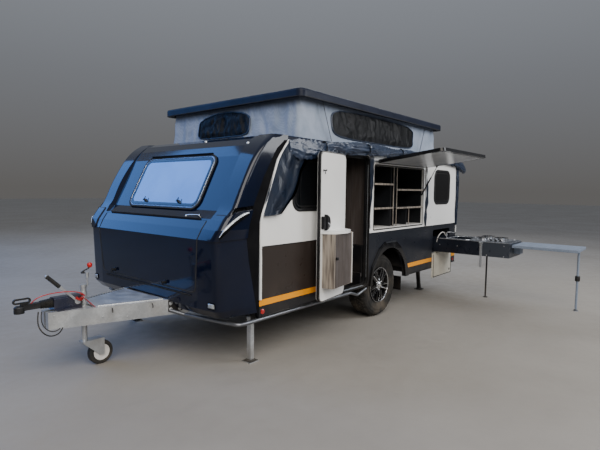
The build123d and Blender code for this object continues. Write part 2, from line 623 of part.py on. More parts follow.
# Nose moulding
def nose_form(grow=0.0):
    """The nose's outer form through its levels, or the form grown outwards."""
    sections = []
    for z, side_x, corner_x, corner_y, face_x, corner_round in NOSE_LEVELS:
        half = HALF_WIDTH + grow
        right = [(NOSE_BACK_X, half), (side_x, half), (corner_x + grow, corner_y + grow),
                 (face_x + grow, NOSE_FACE_Y)]
        sections.append(nose_section(right, z, corner_round + grow))
    with BuildPart() as form:
        loft(sections[:NOSE_KNEE], ruled=True)
        loft(sections[NOSE_KNEE - 1:])
    return form.part


def nose_section(right, z, corner_round):
    """One level of the nose: its right half mirrored, with both corners rounded."""
    left = [(x, -y) for x, y in reversed(right)]
    with BuildSketch(road_plane(z)) as section:
        Polygon(*right, *left, align=None)
        for y in (right[2][1], -right[2][1]):
            target = Vector(right[2][0], y, 0)
            fillet(section.vertices().sort_by_distance(target)[0], corner_round)
    return section.sketch.face()


def nose_hollow():
    """The room inside the nose, above the floor of its boot."""
    sections = []
    for z, side_x, corner_x, corner_y, face_x, corner_round in NOSE_LEVELS[1:]:
        half = HALF_WIDTH - NOSE_SKIN
        right = [(NOSE_BACK_X, half), (side_x - NOSE_SKIN, half),
                 (corner_x - NOSE_FRONT_SKIN, min(corner_y, HALF_WIDTH) - NOSE_SKIN - 4),
                 (face_x - NOSE_FRONT_SKIN, NOSE_FACE_Y - NOSE_SKIN)]
        level = BOOT_FLOOR_Z if z < BOOT_FLOOR_Z else min(z, NOSE_LEVELS[-1][0] - NOSE_SKIN)
        if level == NOSE_LEVELS[-1][0] - NOSE_SKIN:
            right = [(x - 10, y) for x, y in right]
        sections.append(nose_section(right, level, 24.0))
    with BuildPart() as room:
        loft(sections, ruled=True)
    return room.part


def side_form(points, inner_y, outer_y):
    """A side-view outline run across both sides of the nose, between two offsets."""
    for side in (1, -1):
        with BuildSketch(side_plane(outer_y if side > 0 else -inner_y)) as outline:
            Polygon(*points, align=None)
        extrude(outline.sketch, amount=outer_y - inner_y)


def hatch_outline(grow):
    """Front view of the storage hatch, with rounded lower corners."""
    head = HATCH_HALF_HEAD + grow
    foot = HATCH_HALF_FOOT + grow
    with BuildSketch(cross_plane(2300.0)) as outline:
        Polygon((-foot, HATCH_FOOT_Z - grow), (foot, HATCH_FOOT_Z - grow),
                (head, HATCH_HEAD_Z + grow * 0.3), (-head, HATCH_HEAD_Z + grow * 0.3), align=None)
        fillet(outline.vertices().group_by(Axis.Y)[0], HATCH_CORNER)
    return outline.sketch


rake_run = (RAKE_HEAD[0] - RAKE_FOOT[0], RAKE_HEAD[1] - RAKE_FOOT[1])
rake_long = hypot(*rake_run)
rake_normal = (rake_run[1] / rake_long, 0, -rake_run[0] / rake_long)


def rake_plane(height=0.0):
    """Plane on the raked panel: sketch x to the left, y up the rake, from its foot."""
    x, y, z = spot(RAKE_FOOT[0], 0, RAKE_FOOT[1])
    origin = (x + rake_normal[0] * height, y, z + rake_normal[2] * height)
    return Plane(origin=origin, x_dir=(0, 1, 0), z_dir=rake_normal)


# The recess opens forward from its floor, with sloped side walls
RECESS_REACH = 400.0
with BuildPart() as recess:
    levels = []
    for x, z in RECESS_FLOOR:
        with BuildSketch(road_plane(z)) as level:
            Polygon((x, -RECESS_HALF), (x + RECESS_REACH, -RECESS_HALF - RECESS_REACH),
                    (x + RECESS_REACH, RECESS_HALF + RECESS_REACH), (x, RECESS_HALF), align=None)
        levels.append(level.sketch.face())
    loft(levels, ruled=True)

BOOT_FLOOR_Z = 592.0
nose_outer = nose_form()
nose_room = nose_hollow()
pod_form = nose_form(POD_PROUD)
light_form = nose_form(POD_PROUD + LIGHT_PROUD)

# Outlines of the pods, from the grown form
with BuildPart() as pod_skin:
    side_form(POD, POD_INNER_Y, HALF_WIDTH + 60)
    add(pod_form, mode=Mode.INTERSECT)

REAR_CUT = [(1500, 300), (WALL_FRONT[0][0], 300), *WALL_FRONT, (WALL_FRONT[-1][0], 2200), (1500, 2200)]
with BuildPart() as nose:
    add(nose_outer)
    add(recess.part, mode=Mode.SUBTRACT)
    add(pod_skin.part)
    with BuildSketch(side_plane(HALF_WIDTH + 50)):
        Polygon(*REAR_CUT, align=None)
    extrude(amount=2 * (HALF_WIDTH + 50), mode=Mode.SUBTRACT)
    add(nose_room, mode=Mode.SUBTRACT)
    block((2000, 2700), (-RAIL_OUTER_Y - 6, RAIL_OUTER_Y + 6), (300, RAIL_Z[1] + 1), mode=Mode.SUBTRACT)
    with BuildSketch(rake_plane(60)):
        with Locations((0, FRONT_WINDOW_RISE)):
            RectangleRounded(*FRONT_WINDOW, FRONT_WINDOW_CORNER)
    extrude(amount=-200, mode=Mode.SUBTRACT)
    extrude(hatch_outline(PANEL_GAP), amount=500, mode=Mode.SUBTRACT)
    for side in (1, -1):
        edge = HALF_WIDTH + 50
        with BuildSketch(side_plane(edge if side > 0 else -HALF_WIDTH + NOSE_SKIN)) as band_cut:
            Polygon((WALL_FRONT[0][0] - 50, BAND_FRONT[0][1] - 60), (BAND_FRONT[0][0], BAND_FRONT[0][1] - 60),
                    *BAND_FRONT, (1700, CANTRAIL_Z), (1700, BAND_FRONT[0][1] - 60), align=None)
        extrude(band_cut.sketch, amount=50 + NOSE_SKIN, mode=Mode.SUBTRACT)
        with BuildSketch(side_plane(edge if side > 0 else -HALF_WIDTH + VENT_DEEP)) as vent:
            Polygon(*POD_VENT, align=None)
        extrude(vent.sketch, amount=50 + VENT_DEEP, mode=Mode.SUBTRACT)
    leaf_y = (HATCH_PIN_Y[0] - 2, HATCH_PIN_Y[1] + 2)
    block((HATCH_PIN[0] - 4, 2700), leaf_y, (HATCH_HEAD_Z - 1, HATCH_PIN[1]), mode=Mode.SUBTRACT)
    block((HATCH_PIN[0] - 34, HATCH_PIN[0]), HATCH_PIN_Y, (HATCH_PIN[1] - 3, HATCH_PIN[1] + 9))
    cross_pin(HATCH_PIN[0], 0, HATCH_PIN[1], HATCH_KNUCKLE + RUN, 1700, mode=Mode.SUBTRACT)
finish("nose_moulding", nose)

with BuildPart() as bands:
    for side in (1, -1):
        with BuildSketch(side_plane(HALF_WIDTH if side > 0 else -HALF_WIDTH + NOSE_SKIN)) as outline:
            Polygon(*[p for p in WALL_FRONT if p[1] < CANTRAIL_Z], (WALL_FRONT[-1][0], CANTRAIL_Z),
                    *reversed(BAND_FRONT), (BAND_FRONT[0][0] - 8, SKIRT_Z), align=None)
        extrude(outline.sketch, amount=NOSE_SKIN)
finish("nose_bands", bands)

with BuildPart() as hatch:
    add(nose_outer)
    add(nose_room, mode=Mode.SUBTRACT)
    extrude(hatch_outline(0.0), amount=500, mode=Mode.INTERSECT)
    block((HATCH_PIN[0] - 3, HATCH_PIN[0] + 3), HATCH_PIN_Y, (HATCH_HEAD_Z - 26, HATCH_PIN[1]))
    cross_pin(HATCH_PIN[0], 0, HATCH_PIN[1], HATCH_KNUCKLE, HATCH_PIN_Y[1] - HATCH_PIN_Y[0])
finish("storage_hatch", hatch)

with BuildPart() as front_window:
    with BuildSketch(rake_plane(FRONT_WINDOW_PROUD)):
        with Locations((0, FRONT_WINDOW_RISE)):
            RectangleRounded(FRONT_WINDOW[0] - 1, FRONT_WINDOW[1] - 1, FRONT_WINDOW_CORNER - 0.5)
    extrude(amount=-FRONT_WINDOW_THICK)
    fillet(front_window.edges().group_by(Axis((0, 0, 0), rake_normal))[-1], 8)
finish("front_window", front_window)

# Front lamps: a light bar along each pod and a small lamp low in each corner
with BuildPart() as light_bars:
    for side in (1, -1):
        with BuildSketch(side_plane(HALF_WIDTH + 60 if side > 0 else -POD_INNER_Y)) as bar_outline:
            bar(*LIGHT_BAR)
        extrude(bar_outline.sketch, amount=HALF_WIDTH + 60 - POD_INNER_Y)
    add(light_form, mode=Mode.INTERSECT)
    add(pod_form, mode=Mode.SUBTRACT)

with BuildPart() as low_lamps:
    lamp_y, lamp_z = FRONT_LAMP
    lamp_wide, lamp_high = FRONT_LAMP_SIZE
    for side in (1, -1):
        block((2420, 2700), sorted((side * (lamp_y - lamp_wide), side * lamp_y)),
              (lamp_z - lamp_high / 2, lamp_z + lamp_high / 2))
    add(pod_form, mode=Mode.INTERSECT)
    add(nose_outer, mode=Mode.SUBTRACT)

with BuildPart() as front_lamps:
    add(light_bars.part)
    add(low_lamps.part)
finish("front_lamps", front_lamps)

# Side windows, each a double pane set in its opening
with BuildPart() as windows:
    for side in (1, -1):
        plane_y = HALF_WIDTH + 4 if side > 0 else -HALF_WIDTH - 4 + WINDOW_THICK
        with BuildSketch(side_plane(plane_y)):
            for x0, x1, z0, z1 in SIDE_WINDOWS:
                rounded_window((x0, x1), (z0, z1), SIDE_WINDOW_CORNER, grow=-0.5)
        extrude(amount=WINDOW_THICK)
finish("side_windows", windows)

# Door frame, with the fixed knuckles of the hinge
HINGE_X, HINGE_Y = DOOR_HINGE
KNUCKLE = 6.0
KNUCKLE_LONG = 50.0
DOOR_KNUCKLES_Z = [560.0, 1180.0, 1800.0]
STRAP = 5.0
with BuildPart() as frame:
    with BuildSketch(side_plane(HALF_WIDTH + FRAME_PROUD)):
        rounded_window(DOORWAY_X, DOORWAY_Z, DOORWAY_CORNER, grow=FRAME_WIDE)
        rounded_window(DOORWAY_X, DOORWAY_Z, DOORWAY_CORNER, mode=Mode.SUBTRACT)
    extrude(amount=FRAME_PROUD)
    with BuildSketch(side_plane(HALF_WIDTH)):
        rounded_window(DOORWAY_X, DOORWAY_Z, DOORWAY_CORNER, grow=7.7)
        rounded_window(DOORWAY_X, DOORWAY_Z, DOORWAY_CORNER, mode=Mode.SUBTRACT)
    extrude(amount=HALF_WIDTH - JAMB_Y[0])
    with BuildSketch(side_plane(JAMB_Y[1])):
        rounded_window(DOORWAY_X, DOORWAY_Z, DOORWAY_CORNER, grow=1)
        rounded_window(JAMB_X, JAMB_Z, DOORWAY_CORNER, mode=Mode.SUBTRACT)
    extrude(amount=JAMB_Y[1] - JAMB_Y[0])
    cross_pin(0, sum(JAMB_Y) / 2, AXLE_Z, TYRE_CLEAR, JAMB_Y[1] - JAMB_Y[0] + 4, mode=Mode.SUBTRACT)
    for z in DOOR_KNUCKLES_Z:
        low = (z - KNUCKLE_LONG, z - RUN)
        post(HINGE_X, HINGE_Y, low, KNUCKLE)
        block((HINGE_X, HINGE_X + 10), (HALF_WIDTH + FRAME_PROUD - 1, HINGE_Y + 3), low)
finish("door_frame", frame)

# Door, folded back: u runs from its pin to its free edge, v from its pin outward
door_turn = radians(180.0 - DOOR_OPEN)
along_door = (cos(door_turn), sin(door_turn), 0)
DOOR_WIDE = 553.0       # from the pin to the free edge
DOOR_Z = (457.0, 1918.0)
DOOR_CORNER = 66.0
door_inner = DOOR_OUTER + DOOR_THICK


def door_plane(v):
    """Upright plane along the door: sketch x from the pin, y above the road, normal to its outside."""
    x, y, z = spot(HINGE_X, HINGE_Y, 0)
    origin = (x - sin(door_turn) * v, y + cos(door_turn) * v, z)
    return Plane(origin=origin, x_dir=along_door, z_dir=(sin(door_turn), -cos(door_turn), 0))


def door_level(z):
    """Level plane at the door's pin: sketch x along the door, y outward from it."""
    return Plane(origin=spot(HINGE_X, HINGE_Y, z), x_dir=along_door, z_dir=(0, 0, 1))


def door_block(u, v, z):
    """A plain block on the door."""
    with BuildSketch(door_level(z[0])) as foot:
        with Locations(((u[0] + u[1]) / 2, (v[0] + v[1]) / 2)):
            Rectangle(u[1] - u[0], v[1] - v[0])
    extrude(foot.sketch, amount=z[1] - z[0])


with BuildPart() as door:
    with BuildSketch(door_plane(door_inner)):
        rounded_window((10.0, DOOR_WIDE), DOOR_Z, DOOR_CORNER)
    extrude(amount=DOOR_THICK)
    for z in DOOR_KNUCKLES_Z:
        high = (z + RUN, z + KNUCKLE_LONG)
        post(HINGE_X, HINGE_Y, high, KNUCKLE)
        door_block((0, 42), (-1, STRAP), high)
        door_block((14, 42), (-1, DOOR_OUTER), high)
finish("door", door)

LATCH_Z = 1235.0
LATCH_RADIUS = 62.0
with BuildPart() as latch:
    with BuildSketch(door_plane(door_inner + 18)):
        with Locations((DOOR_WIDE - 26, LATCH_Z)):
            Circle(LATCH_RADIUS)
            with Locations((LATCH_RADIUS / 2 + 1, 0)):
                Rectangle(LATCH_RADIUS + 2, 2 * LATCH_RADIUS, mode=Mode.SUBTRACT)
    extrude(amount=18 - RUN)
finish("door_latch", latch)

CABINET_U = (84.0, 505.0)
CABINET_Z = (600.0, 1128.0)
CABINET_DEEP = 130.0
CABINET_DOOR = 16.0     # its front, within the depth
CABINET_KNOB_Z = 894.0
SHELF_THICK = 24.0
with BuildPart() as cabinet:
    front = door_inner + CABINET_DEEP
    door_block(CABINET_U, (door_inner + RUN, front - CABINET_DOOR), CABINET_Z)
    door_block((CABINET_U[0] + 14, CABINET_U[1] - 2), (front - CABINET_DOOR - 1, front),
               (CABINET_Z[0] + 3, CABINET_Z[1] - 3))
    with BuildSketch(door_plane(front)):
        with Locations((CABINET_U[1] - 40, CABINET_KNOB_Z)):
            Circle(11)
    extrude(amount=-16)
finish("door_cabinet", cabinet)

with BuildPart() as shelf:
    with BuildSketch(door_level(CABINET_Z[1])):
        with Locations(((CABINET_U[0] + CABINET_U[1]) / 2, door_inner + RUN)):
            Ellipse(CABINET_U[1] / 2 - CABINET_U[0] / 2 + 22, CABINET_DEEP + 34)
            with Locations((0, -200)):
                Rectangle(900, 400, mode=Mode.SUBTRACT)
    extrude(amount=SHELF_THICK)
finish("door_shelf", shelf)

# Galley hatch, standing open: h runs from its pin to its free edge
galley_turn = radians(GALLEY_OPEN - 90.0)
GALLEY_PIN_Y, GALLEY_PIN_Z = GALLEY_HINGE


def galley_plane(height):
    """Plane of the open hatch: sketch x forward, y from its pin outward, normal to its outside."""
    normal = (0, -sin(galley_turn), cos(galley_turn))
    x, y, z = spot(0, GALLEY_PIN_Y, GALLEY_PIN_Z)
    origin = (x, y + normal[1] * height, z + normal[2] * height)
    return Plane(origin=origin, x_dir=(1, 0, 0), z_dir=normal)


galley_lid_x = (GALLEY_X[0] - GALLEY_OVERLAP, GALLEY_X[1] + GALLEY_OVERLAP)
with BuildPart() as galley_hatch:
    with BuildSketch(galley_plane(-GALLEY_THICK / 2)):
        rounded_window(galley_lid_x, (12.0, GALLEY_LONG), GALLEY_LID_CORNER)
    extrude(amount=GALLEY_THICK)
    with BuildSketch(galley_plane(-GALLEY_THICK / 2)) as panel_recess:
        edge = GALLEY_LID_EDGE
        rounded_window((galley_lid_x[0] + edge, galley_lid_x[1] - edge), (12.0 + edge, GALLEY_LONG - edge),
                       GALLEY_LID_CORNER - edge / 2)
    extrude(panel_recess.sketch, amount=LID_RECESS, mode=Mode.SUBTRACT)
    with BuildSketch(galley_plane(-2.0)):
        with Locations((sum(GALLEY_X) / 2, 8.0)):
            Rectangle(GALLEY_X[1] - GALLEY_X[0] - 80, 16.0)
    extrude(amount=4.0)
    cross = (GALLEY_X[0] + 40, GALLEY_X[1] - 40)
    long_pin(sum(cross) / 2, GALLEY_PIN_Y, GALLEY_PIN_Z, HATCH_KNUCKLE, cross[1] - cross[0])
finish("galley_hatch", galley_hatch)

# Outside kitchen bay behind the hatch: a liner with shelves and dividers
LINER = 12.0
bay_back = HALF_WIDTH - WALL - GALLEY_DEEP
BAY_SHELVES = [       # x from, x to, z
    (-1040.0, -290.0, 1330.0),
    (-1040.0, -290.0, 1560.0),
    (-205.0, 260.0, 1335.0),
    (-205.0, 260.0, 1625.0),
]
BAY_DIVIDERS = [      # x, z from, z to
    (-290.0, 1090.0, 1840.0),
    (-205.0, 1090.0, 1840.0),
    (-630.0, 1090.0, 1330.0),
]
with BuildPart() as bay:
    block((GALLEY_X[0] - LINER, GALLEY_X[1] + LINER), (bay_back - LINER, inside_y),
          (GALLEY_Z[0] - LINER, GALLEY_Z[1] + LINER))
    block(GALLEY_X, (bay_back, inside_y + 1), GALLEY_Z, mode=Mode.SUBTRACT)
    for x0, x1, z in BAY_SHELVES:
        block((x0, x1), (bay_back, inside_y - 10), (z - LINER / 2, z + LINER / 2))
    for x, z0, z1 in BAY_DIVIDERS:
        block((x - LINER / 2, x + LINER / 2), (bay_back, inside_y - 10), (z0, z1))
finish("galley_bay", bay)

# Bay of the drawer, with its runners
RUNNER_Z = (705.0, 745.0)
with BuildPart() as drawer_bay:
    deep = (DRAWER_Y[0] - DRAWER_OUT - 30, inside_y)
    block((BAY_X[0] - LINER, BAY_X[1] + LINER), (deep[0] - LINER, deep[1]),
          (BAY_Z[0] - LINER, BAY_Z[1] + LINER))
    block(BAY_X, (deep[0], deep[1] + 1), BAY_Z, mode=Mode.SUBTRACT)
    block((BAY_X[0], DRAWER_X[0] - RUN), (deep[0], inside_y), RUNNER_Z)
    block((DRAWER_X[1] + RUN, BAY_X[1]), (deep[0], inside_y), RUNNER_Z)
finish("drawer_bay", drawer_bay)

# Slide-out kitchen
SINK = (380.0, 300.0, 110.0)    # along x, along y, deep
SINK_Y = 1420.0
HOB_Y = (1620.0, 2080.0)
drawer_mid = sum(DRAWER_X) / 2
with BuildPart() as drawer:
    block(DRAWER_X, DRAWER_Y, DRAWER_Z)
    block((drawer_mid - SINK[0] / 2, drawer_mid + SINK[0] / 2), (SINK_Y - SINK[1] / 2, SINK_Y + SINK[1] / 2),
          (DRAWER_Z[1] - SINK[2], DRAWER_Z[1] + 1), mode=Mode.SUBTRACT)
finish("kitchen_drawer", drawer)

HOB_HIGH = 40.0
BURNER = 55.0
with BuildPart() as hob:
    block((DRAWER_X[0] + 40, DRAWER_X[1] - 40), HOB_Y, (DRAWER_Z[1], DRAWER_Z[1] + 12))
    for x, y in [(drawer_mid - 120, 1750), (drawer_mid + 120, 1750), (drawer_mid, 1960)]:
        post(x, y, (DRAWER_Z[1] + 12, DRAWER_Z[1] + HOB_HIGH), BURNER)
finish("hob", hob)

TAP_X = drawer_mid + 120
TAP_RADIUS = 9.0
with BuildPart() as tap:
    with BuildLine() as spout:
        foot = spot(TAP_X, SINK_Y - 190, DRAWER_Z[1])
        neck = spot(TAP_X, SINK_Y - 190, DRAWER_Z[1] + 82)
        end = spot(TAP_X, SINK_Y - 60, DRAWER_Z[1] + 82)
        FilletPolyline(foot, neck, end, radius=34)
    with BuildSketch(Plane(origin=foot, z_dir=(0, 0, 1))):
        Circle(TAP_RADIUS)
    sweep()
    post(TAP_X, SINK_Y - 190, (DRAWER_Z[1], DRAWER_Z[1] + 12), 20)
finish("tap", tap)

# Flap of the bay, hanging open below the drawer
FLAP_PIN_Y, FLAP_PIN_Z = FLAP_HINGE
with BuildPart() as flap:
    low = FLAP_PIN_Z - FLAP_LONG
    block((BAY_X[0] - 20, BAY_X[1] + 20), (FLAP_PIN_Y - FLAP_THICK / 2, FLAP_PIN_Y + FLAP_THICK / 2),
          (low, FLAP_PIN_Z - 10))
    block((BAY_X[0] + 40, BAY_X[1] - 40), (FLAP_PIN_Y - 2, FLAP_PIN_Y + 2), (FLAP_PIN_Z - 12, FLAP_PIN_Z))
    long_pin(sum(BAY_X) / 2, FLAP_PIN_Y, FLAP_PIN_Z, HATCH_KNUCKLE, BAY_X[1] - BAY_X[0] - 80)
finish("drawer_flap", flap)

# Fixed sides of the two long hinges: rails on the wall that hold each barrel from behind
with BuildPart() as hinge_rails:
    block(galley_lid_x, (HALF_WIDTH, GALLEY_PIN_Y), (GALLEY_PIN_Z - 3, GALLEY_PIN_Z + 16))
    long_pin(sum(galley_lid_x) / 2, GALLEY_PIN_Y, GALLEY_PIN_Z, HATCH_KNUCKLE + RUN,
             galley_lid_x[1] - galley_lid_x[0] + 10, mode=Mode.SUBTRACT)
    block((BAY_X[0] - 20, BAY_X[1] + 20), (HALF_WIDTH, FLAP_PIN_Y), (FLAP_PIN_Z - 3, FLAP_PIN_Z + 9))
    long_pin(sum(BAY_X) / 2, FLAP_PIN_Y, FLAP_PIN_Z, HATCH_KNUCKLE + RUN, 700, mode=Mode.SUBTRACT)
finish("hinge_rails", hinge_rails)

# Prop that stands on the road under the drawer
with BuildPart() as prop:
    post(PROP_AT[0], PROP_AT[1], (0, DRAWER_Z[0] - RUN), 12)
    post(PROP_AT[0], PROP_AT[1], (0, 8), 32)
finish("drawer_prop", prop)

# Folding table hooked on the drawer's end
with BuildPart() as table:
    block(TABLE_X, TABLE_Y, (TABLE_Z - TABLE_THICK, TABLE_Z))
    fillet(table.edges().filter_by(Axis.Z), 25)
    block((drawer_mid - 60, drawer_mid + 60), (DRAWER_Y[1], TABLE_Y[0] + 60), (DRAWER_Z[1] - 150, TABLE_Z - TABLE_THICK))
finish("table", table)

with BuildPart() as table_leg:
    post(TABLE_LEG[0], TABLE_LEG[1], (0, TABLE_Z - TABLE_THICK), 14)
    post(TABLE_LEG[0], TABLE_LEG[1], (0, 10), 26)
    post(TABLE_LEG[0], TABLE_LEG[1], (400, 450), 22)
finish("table_leg", table_leg)

# Pop-top: the lid, and the canvas between it and the roof deck
with BuildPart() as lid:
    block(LID_X, (-LID_HALF, LID_HALF), (LID_TOP_Z - LID_RIM, LID_TOP_Z))
    fillet(lid.edges().filter_by(Axis.Z), LID_CORNER)
    fillet(lid.edges().group_by(Axis.Z)[-1], 24)
    block((LID_X[0] + 45, LID_X[1] - 45), (-LID_HALF + 45, LID_HALF - 45),
          (LID_TOP_Z - LID_RIM - 1, LID_TOP_Z - 30), mode=Mode.SUBTRACT)
finish("roof_lid", lid)

canvas_foot_z = CANTRAIL_Z + ROOF_THICK
canvas_head_z = LID_TOP_Z - 30.0
with BuildPart() as canvas:
    for inset, mode in ((0.0, Mode.ADD), (CANVAS_THICK, Mode.SUBTRACT)):
        for z, (half_long, half_wide) in ((canvas_foot_z, CANVAS_FOOT), (canvas_head_z - RUN, CANVAS_HEAD)):
            with BuildSketch(road_plane(z)):
                RectangleRounded(2 * (half_long - inset), 2 * (half_wide - inset), 60 - inset)
        loft(mode=mode)
finish("pop_top_canvas", canvas)

# Awning: a rolled fabric along the rail over the door, and its front end hanging from the rail
AWNING_X = (-1150.0, 1690.0)
AWNING_Z = (1932.0, 2030.0)
AWNING_DEEP = 85.0
DRAPE_THICK = 36.0
TRIM_PROUD = 8.0
TRIM_WIDE = 18.0
awning_y = HALF_WIDTH + TRIM_PROUD + RUN
DRAPE = [(2132, 1275), (1924, 1806), (1785, 1975), (1705, 1960), (1700, 1900), (1760, 1780), (1930, 1400),
         (2000, 1260)]
# The roll's rear end, tied thinner: (x, width, height, z)
AWNING_TAIL = [(-1150.0, 80.0, 94.0, 1981.0), (-1700.0, 60.0, 70.0, 1992.0), (-2420.0, 36.0, 52.0, 1962.0)]
TAIL_DRAPE = [(-2130, 1960), (-2238, 1960), (-2238, 1480), (-2200, 1020), (-2150, 1015), (-2160, 1500)]
with BuildPart() as awning:
    with BuildSketch(cross_plane(AWNING_X[0])):
        with Locations((awning_y + AWNING_DEEP / 2, sum(AWNING_Z) / 2)):
            RectangleRounded(AWNING_DEEP, AWNING_Z[1] - AWNING_Z[0], 40)
    extrude(amount=AWNING_X[1] - AWNING_X[0])
    with BuildSketch(side_plane(awning_y + DRAPE_THICK)):
        Polygon(*DRAPE, align=None)
    extrude(amount=DRAPE_THICK)
    for x, wide, high, z in AWNING_TAIL:
        with BuildSketch(cross_plane(x)):
            with Locations((awning_y + wide / 2, z)):
                RectangleRounded(wide, high, wide * 0.45)
    loft(ruled=True)
    with BuildSketch(side_plane(awning_y + DRAPE_THICK)):
        Polygon(*TAIL_DRAPE, align=None)
    extrude(amount=DRAPE_THICK)
finish("awning_fabric", awning)

# Trims: awning rail on the leading edge, and the side guard tubes
with BuildPart() as rails_trim:
    for side in (1, -1):
        plane_y = HALF_WIDTH + TRIM_PROUD if side > 0 else -HALF_WIDTH
        with BuildSketch(side_plane(plane_y)):
            with BuildLine():
                Polyline((2140, 588), *WALL_FRONT[1:], (REAR_X, CANTRAIL_Z))
            trace(line_width=TRIM_WIDE)
        extrude(amount=TRIM_PROUD)
finish("awning_rails", rails_trim)

GUARD_RADIUS = 17.0
GUARD_Z = 408.0
GUARD_Y = HALF_WIDTH - WALL / 2
GUARD_TABS_X = [800.0, 1400.0, 2000.0]
GUARD_POINTS = [
    (2600.0, 450.0, 470.0), (2520.0, 560.0, 435.0), (2360.0, GUARD_Y, GUARD_Z),
    (700.0, GUARD_Y, GUARD_Z), (560.0, GUARD_Y, 362.0), (380.0, GUARD_Y, GUARD_Z),
]
with BuildPart() as guards:
    for side in (1, -1):
        points = [spot(x, side * y, z) for x, y, z in GUARD_POINTS]
        with BuildLine() as path:
            FilletPolyline(*points, radius=50)
        with BuildSketch(Plane(origin=path.line @ 0, z_dir=path.line % 0)):
            Circle(GUARD_RADIUS)
        sweep()
        for x in GUARD_TABS_X:
            block((x - 15, x + 15), sorted((side * (GUARD_Y - 12), side * (GUARD_Y + 12))), (GUARD_Z, SKIRT_Z - RUN))
finish("side_guards", guards)

# Corner steadies: each a square leg on a pivot, with a foot plate
for name, pivot_x, foot_x, y, pivot_z in STEADIES:
    with BuildPart() as leg:
        half = STEADY_SQUARE / 2
        with BuildSketch(side_plane(y + half)):
            bar((pivot_x, pivot_z), (foot_x, 12), half - 5)
            with Locations((pivot_x, pivot_z)):
                Circle(half)
        extrude(amount=STEADY_SQUARE)
        block((foot_x - 100, foot_x + 100), (y - 100, y + 100), (-100, 4), mode=Mode.SUBTRACT)
        block((foot_x - STEADY_FOOT / 2, foot_x + STEADY_FOOT / 2), (y - STEADY_FOOT / 2, y + STEADY_FOOT / 2),
              (0, 8))
        cross_pin(pivot_x, y, pivot_z, STEADY_PIN + RUN, 80, mode=Mode.SUBTRACT)
    finish(f"steady_{name}", leg)


# Furniture seen through the doorway and the windows: tall units round the galley bay, the front
# bed's base and the bench across the tail
BED_X = (1150.0, 2150.0)
BED_Z = 1120.0
BENCH_X = (REAR_X + WALL + RUN, -1700.0)
BENCH_Z = 1000.0
BOARD = 20.0
with BuildPart() as furniture:
    back_y = bay_back - LINER
    tall_x = (GALLEY_X[0] - 60, GALLEY_X[1] + 45)
    block(tall_x, (back_y - BOARD, back_y), (FLOOR_Z, CANTRAIL_Z))
    block((tall_x[1] - BOARD, tall_x[1]), (back_y - BOARD, inside_y - 1), (WHEEL_BOX_Z, CANTRAIL_Z))
    block((tall_x[0], tall_x[0] + BOARD), (back_y - BOARD, inside_y - 1), (WHEEL_BOX_Z, CANTRAIL_Z))
    for x in (BED_X[0], 1800):
        block((x, x + BOARD), (-inside_y + 1, inside_y - 1), (FLOOR_Z, BED_Z))
    block(BED_X, (-inside_y + 1, inside_y - 1), (BED_Z, BED_Z + 15))
    block((BENCH_X[1] - BOARD, BENCH_X[1]), (-inside_y + 1, deep[0] - LINER - 1), (FLOOR_Z, BENCH_Z))
    block(BENCH_X, (-inside_y + 1, deep[0] - LINER - 1), (BENCH_Z, BENCH_Z + 15))
finish("furniture", furniture)

with BuildPart() as mattress:
    block((BED_X[0] + 5, BED_X[1] - 150), (-960, 960), (BED_Z + 15 + RUN, BED_Z + 150))
    fillet(mattress.edges().filter_by(Axis.Z), 60)
finish("mattress", mattress)

# Rear lamp clusters
REAR_LAMP_Y = (955.0, 1065.0)
REAR_LAMP_Z = (640.0, 960.0)
with BuildPart() as lamps:
    for side in (1, -1):
        block((REAR_X - 34, REAR_X), sorted(side * y for y in REAR_LAMP_Y), REAR_LAMP_Z)
    fillet(lamps.edges().group_by(Axis.X)[0], 10)
finish("rear_lamps", lamps)

for name, builder in pieces.items():
    export_step(builder.part, f"parts/{name}.step")
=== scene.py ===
# %% [markdown]
# # An off-road caravan, dressed round its engineering model
#
# The solids of the caravan come ready made from the CAD side, in metres. This notebook gives every
# one of them a finish, swaps the soft goods and the tyres for finer meshes, and adds the bolts,
# seals, straps and trims that are too small to be worth a solid. All of it stays in the frame of the
# tow ball: +X forward, +Y to the left, +Z up.

# %% Load the frame
import contextlib
import math
import bmesh
import bpy
from mathutils import Matrix, Vector, noise
from mathutils.bvhtree import BVHTree


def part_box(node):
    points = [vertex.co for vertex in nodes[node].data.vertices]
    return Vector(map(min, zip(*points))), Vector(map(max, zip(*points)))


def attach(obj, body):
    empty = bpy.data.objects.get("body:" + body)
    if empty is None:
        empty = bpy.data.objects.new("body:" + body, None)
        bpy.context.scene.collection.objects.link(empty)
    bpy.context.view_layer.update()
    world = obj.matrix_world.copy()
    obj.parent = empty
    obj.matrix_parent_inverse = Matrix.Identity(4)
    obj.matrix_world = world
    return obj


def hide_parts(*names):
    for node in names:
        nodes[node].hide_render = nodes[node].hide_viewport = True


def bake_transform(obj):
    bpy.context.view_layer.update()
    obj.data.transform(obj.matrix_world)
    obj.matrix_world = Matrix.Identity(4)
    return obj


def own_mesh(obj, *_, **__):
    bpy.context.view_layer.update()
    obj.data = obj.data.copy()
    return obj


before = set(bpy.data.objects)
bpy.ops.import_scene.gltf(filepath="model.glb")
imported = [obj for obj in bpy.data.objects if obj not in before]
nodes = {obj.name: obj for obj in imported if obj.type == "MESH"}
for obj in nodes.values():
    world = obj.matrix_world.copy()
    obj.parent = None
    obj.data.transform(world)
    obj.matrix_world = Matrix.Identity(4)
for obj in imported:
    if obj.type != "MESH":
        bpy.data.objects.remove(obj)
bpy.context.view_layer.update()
scene = bpy.context.scene

# %% [markdown]
# ## Places on a trailer
#
# A trailer is measured from the road under its axle, so every place below is given that way: metres
# ahead of the axle, to the left, and above the road. One vector turns such a place into the frame of
# the tow ball. It is simplest to build each mesh in road measures and to shift it once, at the end.

